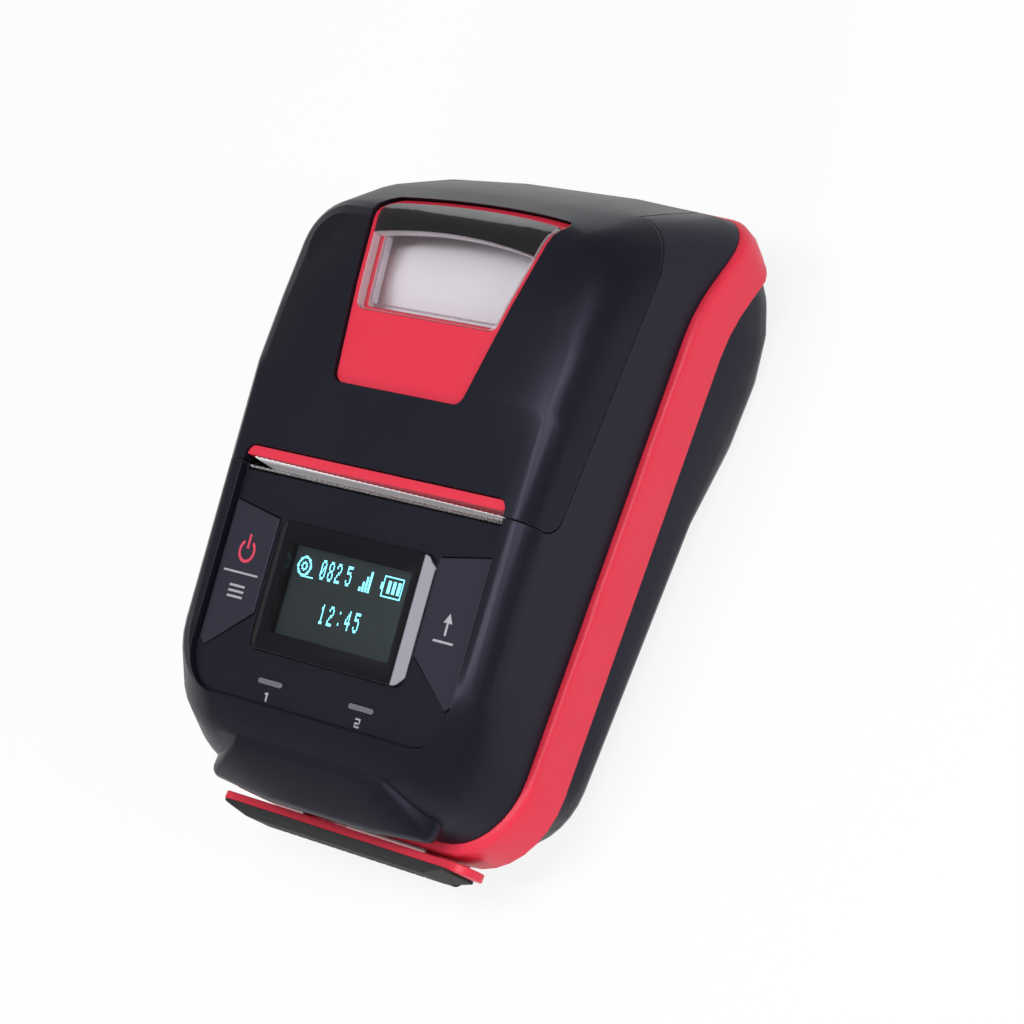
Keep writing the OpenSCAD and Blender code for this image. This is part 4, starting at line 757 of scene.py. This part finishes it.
def grown(name, points, growth, body):
    """The tree's result on these points, as a plain mesh that rides on a body."""
    seed = bpy.data.meshes.new(name)
    seed.from_pydata([tuple(p) for p in points], [], [])
    piece = bpy.data.objects.new(name, seed)
    bpy.context.scene.collection.objects.link(piece)
    grow = piece.modifiers.new("grow", "NODES")
    grow.node_group = growth.nodes
    for socket in growth.nodes.interface.items_tree:
        if socket.in_out == "INPUT" and socket.name in growth.sizes:
            grow[socket.identifier] = growth.sizes[socket.name]
    piece = settled(piece)
    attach(piece, body)
    print(name, "points", len(points), "faces", len(piece.data.polygons))
    return piece


# %% [markdown]
# On such a display each dot is a small lit square with a hair-thin dark line round it,
# so one thin tile on each lit dot gives crisp glyphs at any distance. The face behind
# them isn't quite black: stray light makes a faint haze, which a gradient and a fine
# noise give.

# %% The display's face and its lit dots
COLUMNS = 128
PITCH = 2 * LIT_X / COLUMNS
DOT_DEPTH = -1.22
dot_tree = Growth("lit_dots", {"Dot width": 0.000226, "Dot thickness": 0.00005})
dot_width = dot_tree.size("Dot width")
tile = dot_tree.node("GeometryNodeMeshCube", None, {
    "Size": dot_tree.vector(dot_width, dot_width, dot_tree.size("Dot thickness"))})
dot_tree.finish_with(tile, glyph_light, (SLOPE, 0, 0))
places = on_panel([(-LIT_X + (x + 0.5) * PITCH, LIT_Y - (y + 0.5) * PITCH, DOT_DEPTH) for x, y in lit])
grown("display_dots", places, dot_tree, "housing")


def screen_finish():
    f = Finish("screen", (0.01, 0.013, 0.014), roughness=0.4,
               Emission_Strength=1.0, Specular_IOR_Level=0.2)
    centred = f.node("ShaderNodeMapping", None, {
        "Vector": f.place, "Location": (0.1, 0.9, 0), "Scale": (22, 22, 0)})
    haze = f.node("ShaderNodeTexGradient", None, {"Vector": centred}, "Fac")
    cells = f.noise(5000, detail=1) * 0.15
    f.feed("Emission Color", f.blend(haze + cells, (0.009, 0.013, 0.016, 1), (0.026, 0.035, 0.034, 1)))
    f.relief(f.noise(4300, detail=0), depth=0.000004, strength=0.3)
    return f.material


dress("display_module", screen_finish())
print("dot pitch:", round(PITCH, 4), "mm")

# %% [markdown]
# The marks on the panel are pad printed: flat ink a few hundredths of a millimetre
# thick. Each mark is an outline in panel millimetres, filled and given its thickness.
# Text would need a font, and a few straight strokes and one arc are enough here.

# %% How a mark is made
INK_FOOT = 0.02
INK_TOP = 0.03


def mark(name, outlines, finish, body, lift):
    """Ink on a face that stands a lift above the panel, from its outlines."""
    form = bmesh.new()
    for outline in outlines:
        low = [form.verts.new(p) for p in on_panel(outline, lift - INK_FOOT)]
        high = [form.verts.new(p) for p in on_panel(outline, lift + INK_TOP)]
        form.faces.new(high)
        form.faces.new(low[::-1])
        for i in range(len(low)):
            j = (i + 1) % len(low)
            form.faces.new((low[i], low[j], high[j], high[i]))
    bmesh.ops.recalc_face_normals(form, faces=form.faces)
    piece = new_piece(name, form, finish)
    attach(piece, body)
    print(name, "outlines", len(outlines))


def bar(x0, x1, y0, y1):
    return [(x0, y0), (x1, y0), (x1, y1), (x0, y1)]


def arc(cx, cy, radius, stroke, start, stop, steps=28):
    """A bent stroke between two angles in degrees."""
    turn = [math.radians(start + (stop - start) * k / steps) for k in range(steps + 1)]
    outer, inner = [[(cx + (radius + side) * math.cos(a), cy + (radius + side) * math.sin(a)) for a in turn]
                    for side in (stroke / 2, -stroke / 2)]
    return outer + inner[::-1]


# %% [markdown]
# A ring broken at the top with a bar in it is the standard power sign. A list and an
# arrow say what the two keys do, and the lights are numbered. A mark on a key rides
# with the key, so that it goes down with it when the key is pressed.

# %% Printed marks
KEY_TOP = 0.25
broken_ring = arc(-24.9, 4.3, radius=1.75, stroke=0.5, start=125, stop=415)
mark("power_sign", [broken_ring, bar(-25.15, -24.65, 4.7, 7.1)], power_red, "mode_key", KEY_TOP)
mark("key_rule", [bar(-29.2, -20.7, 0.42, 0.78)], print_ink, "mode_key", KEY_TOP)
mark("list_sign", [bar(-26.8, -23.0, y, y + 0.4) for y in (-3.6, -2.7, -1.8)], print_ink, "mode_key", KEY_TOP)
mark("feed_sign", [[(23.9, 1.0), (24.9, 2.6), (25.9, 1.0)], bar(24.65, 25.15, -1.0, 1.0),
                   bar(22.6, 27.2, -2.2, -1.8)], print_ink, "feed_key", KEY_TOP)
mark("light_numbers", [bar(-11.2, -10.8, -18.4, -16.9), bar(-11.6, -11.2, -17.35, -17.0),
                       bar(10.4, 11.6, -17.15, -16.85), bar(11.3, 11.6, -17.85, -17.15),
                       bar(10.4, 11.6, -17.85, -17.55), bar(10.4, 10.7, -18.4, -17.85),
                       bar(10.4, 11.6, -18.4, -18.1)], print_ink, "housing", lift=0.0)

# %% [markdown]
# The keys and light pipes are small mouldings with crisp but not knife-sharp edges. A
# real bevel of about a tenth of a millimetre catches the light along them, where the
# rounding in the shading alone would be too faint.

# %% Keys and lights
for node, finish in {"mode_button": panel_plastic, "feed_button": panel_plastic,
                     "power_light_pipe": light_plastic, "error_light_pipe": light_plastic}.items():
    made = dress(node, finish, edge=0.00012)
    print(node, "faces", len(made.data.polygons))

# %% [markdown]
# The roll shows wound layers, its core is card, and the single strip comes up through
# the slot to the tear bar. The bar is dark steel, and its fine ground teeth are
# bright. A Geometry Nodes tree sets a small pyramid on each of 92 points along the
# bar, and all of them stay within the bar's own thickness.

# %% Paper and tear bar
TEETH = 92
TOOTH_PITCH = 0.000652
TOOTH_Y = -0.00455
TOOTH_Z = 0.03635
dress("paper_roll", wound_paper)
dress("roll_core", cardboard)
dress("paper_strip", paper)
dress("tear_bar", dark_steel, edge=0.00004)
tooth_tree = Growth("ground_tooth", {"Tooth radius": 0.00034, "Tooth height": 0.00095})
tooth = tooth_tree.node("GeometryNodeMeshCone", None, {
    "Vertices": 4, "Radius Top": 0.00003, "Radius Bottom": tooth_tree.size("Tooth radius"),
    "Depth": tooth_tree.size("Tooth height")}, "Mesh")
tooth_tree.finish_with(tooth, bright_steel, (0, 0, math.radians(45)))
tooth_places = [((k - (TEETH - 1) / 2) * TOOTH_PITCH, TOOTH_Y, TOOTH_Z) for k in range(TEETH)]
grown("tear_teeth", tooth_places, tooth_tree, "housing")

# %% [markdown]
# The strap bail is a flat red bar that folds up against the bottom end, with a black
# rubber pad moulded on. Both have plain shapes, so they keep the CAD form, and a small
# bevel gives their edges the glint that a sharp edge can't have.

# %% Strap bail and grip pad
for node, finish, edge in (("strap_bail", red_plastic, 0.00015), ("bail_grip", rubber, 0.0001)):
    made = dress(node, finish, edge=edge)
    print(node, "faces", len(made.data.polygons))

# %% [markdown]
# The four case screws sit deep in the back. Each is a pan head with a cross recess on
# a threaded shank. The tree builds one screw from a short cone for its head, two
# crossed blocks that are cut from it, a cylinder and a spiral for its thread, and then
# sets it on four points.

# %% A screw's head with its cross recess
HEAD_TAPER = 0.86
RECESS_WIDTH = 0.0004
RECESS_DEPTH = 0.0013
screw = Growth("pan_head_screw", {"Head radius": 0.0018, "Head height": 0.0014, "Shank radius": 0.00086,
                                  "Shank length": 0.0146, "Thread height": 0.00011, "Recess": 0.0021})
head_radius = screw.size("Head radius")
head_height = screw.size("Head height")
recess = screw.size("Recess")
head = screw.node("GeometryNodeMeshCone", None, {
    "Vertices": 40, "Side Segments": 3, "Radius Top": head_radius,
    "Radius Bottom": head_radius * HEAD_TAPER, "Depth": head_height}, "Mesh")
cross = [screw.node("GeometryNodeMeshCube", None, {"Size": screw.vector(*size)}, "Mesh")
         for size in ((recess, RECESS_WIDTH, RECESS_DEPTH), (RECESS_WIDTH, recess, RECESS_DEPTH))]
head = screw.node("GeometryNodeMeshBoolean", {"operation": "DIFFERENCE"},
                  {"Mesh 1": head, "Mesh 2": cross}, "Mesh")
print("nodes for the head:", len(screw.nodes.nodes))

# %% Its shank and thread
THREAD_TURNS = 20.0
PLAIN_LENGTH = 0.001
THREAD_START = 0.0006
shank_radius = screw.size("Shank radius")
shank_length = screw.size("Shank length")
rod =screw.node("GeometryNodeMeshCylinder", None, {
    "Vertices": 24, "Radius": shank_radius, "Depth": shank_length}, "Mesh")
shank = screw.node("GeometryNodeTransform", None, {
    "Geometry": rod, "Translation": screw.vector(0, 0, head_height + shank_length * 0.5)})
helix = screw.node("GeometryNodeCurveSpiral", None, {
    "Resolution": 16, "Rotations": THREAD_TURNS, "Start Radius": shank_radius,
    "End Radius": shank_radius, "Height": shank_length - PLAIN_LENGTH})
ridge = screw.node("GeometryNodeCurvePrimitiveCircle", None, {
    "Resolution": 3, "Radius": screw.size("Thread height")}, "Curve")
coil = screw.node("GeometryNodeCurveToMesh", None, {"Curve": helix, "Profile Curve": ridge})
thread = screw.node("GeometryNodeTransform", None, {
    "Geometry": coil, "Translation": screw.vector(0, 0, head_height + THREAD_START)})
print("nodes with the shank:", len(screw.nodes.nodes))

# %% Case screws
SCREW_Z = 0.0046
POSTS = ((0.0298, -0.0396), (0.03265, 0.0415))
whole = screw.node("GeometryNodeJoinGeometry", None, {0: [head, shank, thread]})
screw.finish_with(whole, steel)
screws = grown("case_screws_skin", [(side * x, y, SCREW_Z) for side in (-1, 1) for x, y in POSTS],
               screw, "housing")
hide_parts("case_screws")

# %% [markdown]
# The pieces inside show when the cover is open or the part is taken apart. Their CAD
# shapes are right as they are, so each keeps its shape and gets the finish of its
# material: boards, chips, steel frame, springs, gears, roller and connectors.

# %% Inner pieces
INNER = {
    "control_board": board, "main_board": board, "buzzer": chip_black, "board_cable": ribbon,
    "head_cable": ribbon, "tact_switches": steel, "usb_port": steel, "charge_jack": chip_black,
    "port_cover": rubber, "release_spring": steel, "head_board": ceramic, "head_heatsink": aluminium,
    "head_pin": steel, "head_springs": steel, "mechanism_frame": steel, "paper_guide": inner_plastic,
    "paper_sensor": chip_black, "stepper_motor": steel, "motor_pinion": brass, "idler_gear": acetal,
    "idler_pin": steel, "platen_roller": rubber, "platen_shaft": steel, "platen_bushes": acetal,
    "platen_gear": acetal, "hinge_pin": steel, "hinge_spring": steel, "roll_tray": inner_plastic,
    "battery_pack": inner_plastic, "battery_contacts": brass, "battery_latch": red_plastic,
    "latch_spring": steel, "bail_pins": steel, "control_screws": steel, "board_screws": steel,
    "frame_screws": steel}
for node, finish in INNER.items():
    dress(node, finish)
print("inner pieces:", len(INNER))

# %% [markdown]
# The table is a pale plane that turns to plain white for the camera, for mirrors and
# for clear plastic, but keeps part of the printer's shadow. The Light Path node tells
# the material which kind of ray has met it, so the background is white without more
# light on the printer.

# %% Table
WHITE_SHARE = 0.86
PALE = (0.82, 0.82, 0.82)
table_form = bmesh.new()
bmesh.ops.create_grid(table_form, x_segments=1, y_segments=1, size=3)
tabletop = Finish("table_top", PALE, roughness=0.85)
mottle = tabletop.noise(30, detail=3)
tabletop.feed("Base Color", tabletop.blend(mottle * 0.1, (*PALE, 1), (0.78, 0.78, 0.78, 1)))
camera_ray, glossy_ray, clear_ray = [tabletop.node("ShaderNodeLightPath", out=ray) for ray in (
    "Is Camera Ray", "Is Glossy Ray", "Is Transmission Ray")]
plain = tabletop.node("ShaderNodeEmission", None, {"Color": (1, 1, 1, 1), "Strength": 1.0}, "Emission")
tabletop.surface((camera_ray + glossy_ray + clear_ray) * WHITE_SHARE, plain, slot=2)
table = new_piece("table", table_form, tabletop.material)
print("table corners:", len(table.data.vertices))

# %% [markdown]
# A weak even sky fills what no lamp reaches. The lamps are large and soft: two
# overhead, whose reflections run along the shoulder and the display's facet, one at
# the right and one at the bottom end. The last two only fill shadows, so they are
# hidden from glossy rays.

# %% World and lamps
AIM = Vector((0, 0, 0.02))
world = bpy.data.worlds.new("studio")
bpy.context.scene.world = world
world.use_nodes = True
sky = world.node_tree.nodes["Background"]
sky.inputs["Strength"].default_value = 0.25
sky.inputs["Color"].default_value = (1, 1, 1, 1)
bpy.context.scene.view_settings.view_transform = "Standard"


def lamp(name, place, width, height, power, mirrored=True):
    """A soft rectangular lamp that faces the printer, in metres and watts."""
    light = bpy.data.objects.new(name, bpy.data.lights.new(name, "AREA"))
    light.data.shape = "RECTANGLE"
    light.data.size = width
    light.data.size_y = height
    light.data.energy = power
    light.location = place
    light.rotation_euler = (AIM - Vector(place)).to_track_quat("-Z", "Y").to_euler()
    light.visible_glossy = mirrored
    bpy.context.scene.collection.objects.link(light)


lamp("overhead_left", (-0.14, -0.1, 0.85), width=0.24, height=0.3, power=2.7)
lamp("overhead_right", (0.3, 0.06, 0.79), width=0.18, height=0.36, power=2.6)
lamp("right_side", (0.75, 0.1, 0.3), width=0.3, height=0.3, power=2.6, mirrored=False)
lamp("front", (0.1, -0.8, 0.35), width=0.4, height=0.3, power=2.5, mirrored=False)
print("lamps:", len(bpy.data.lights))
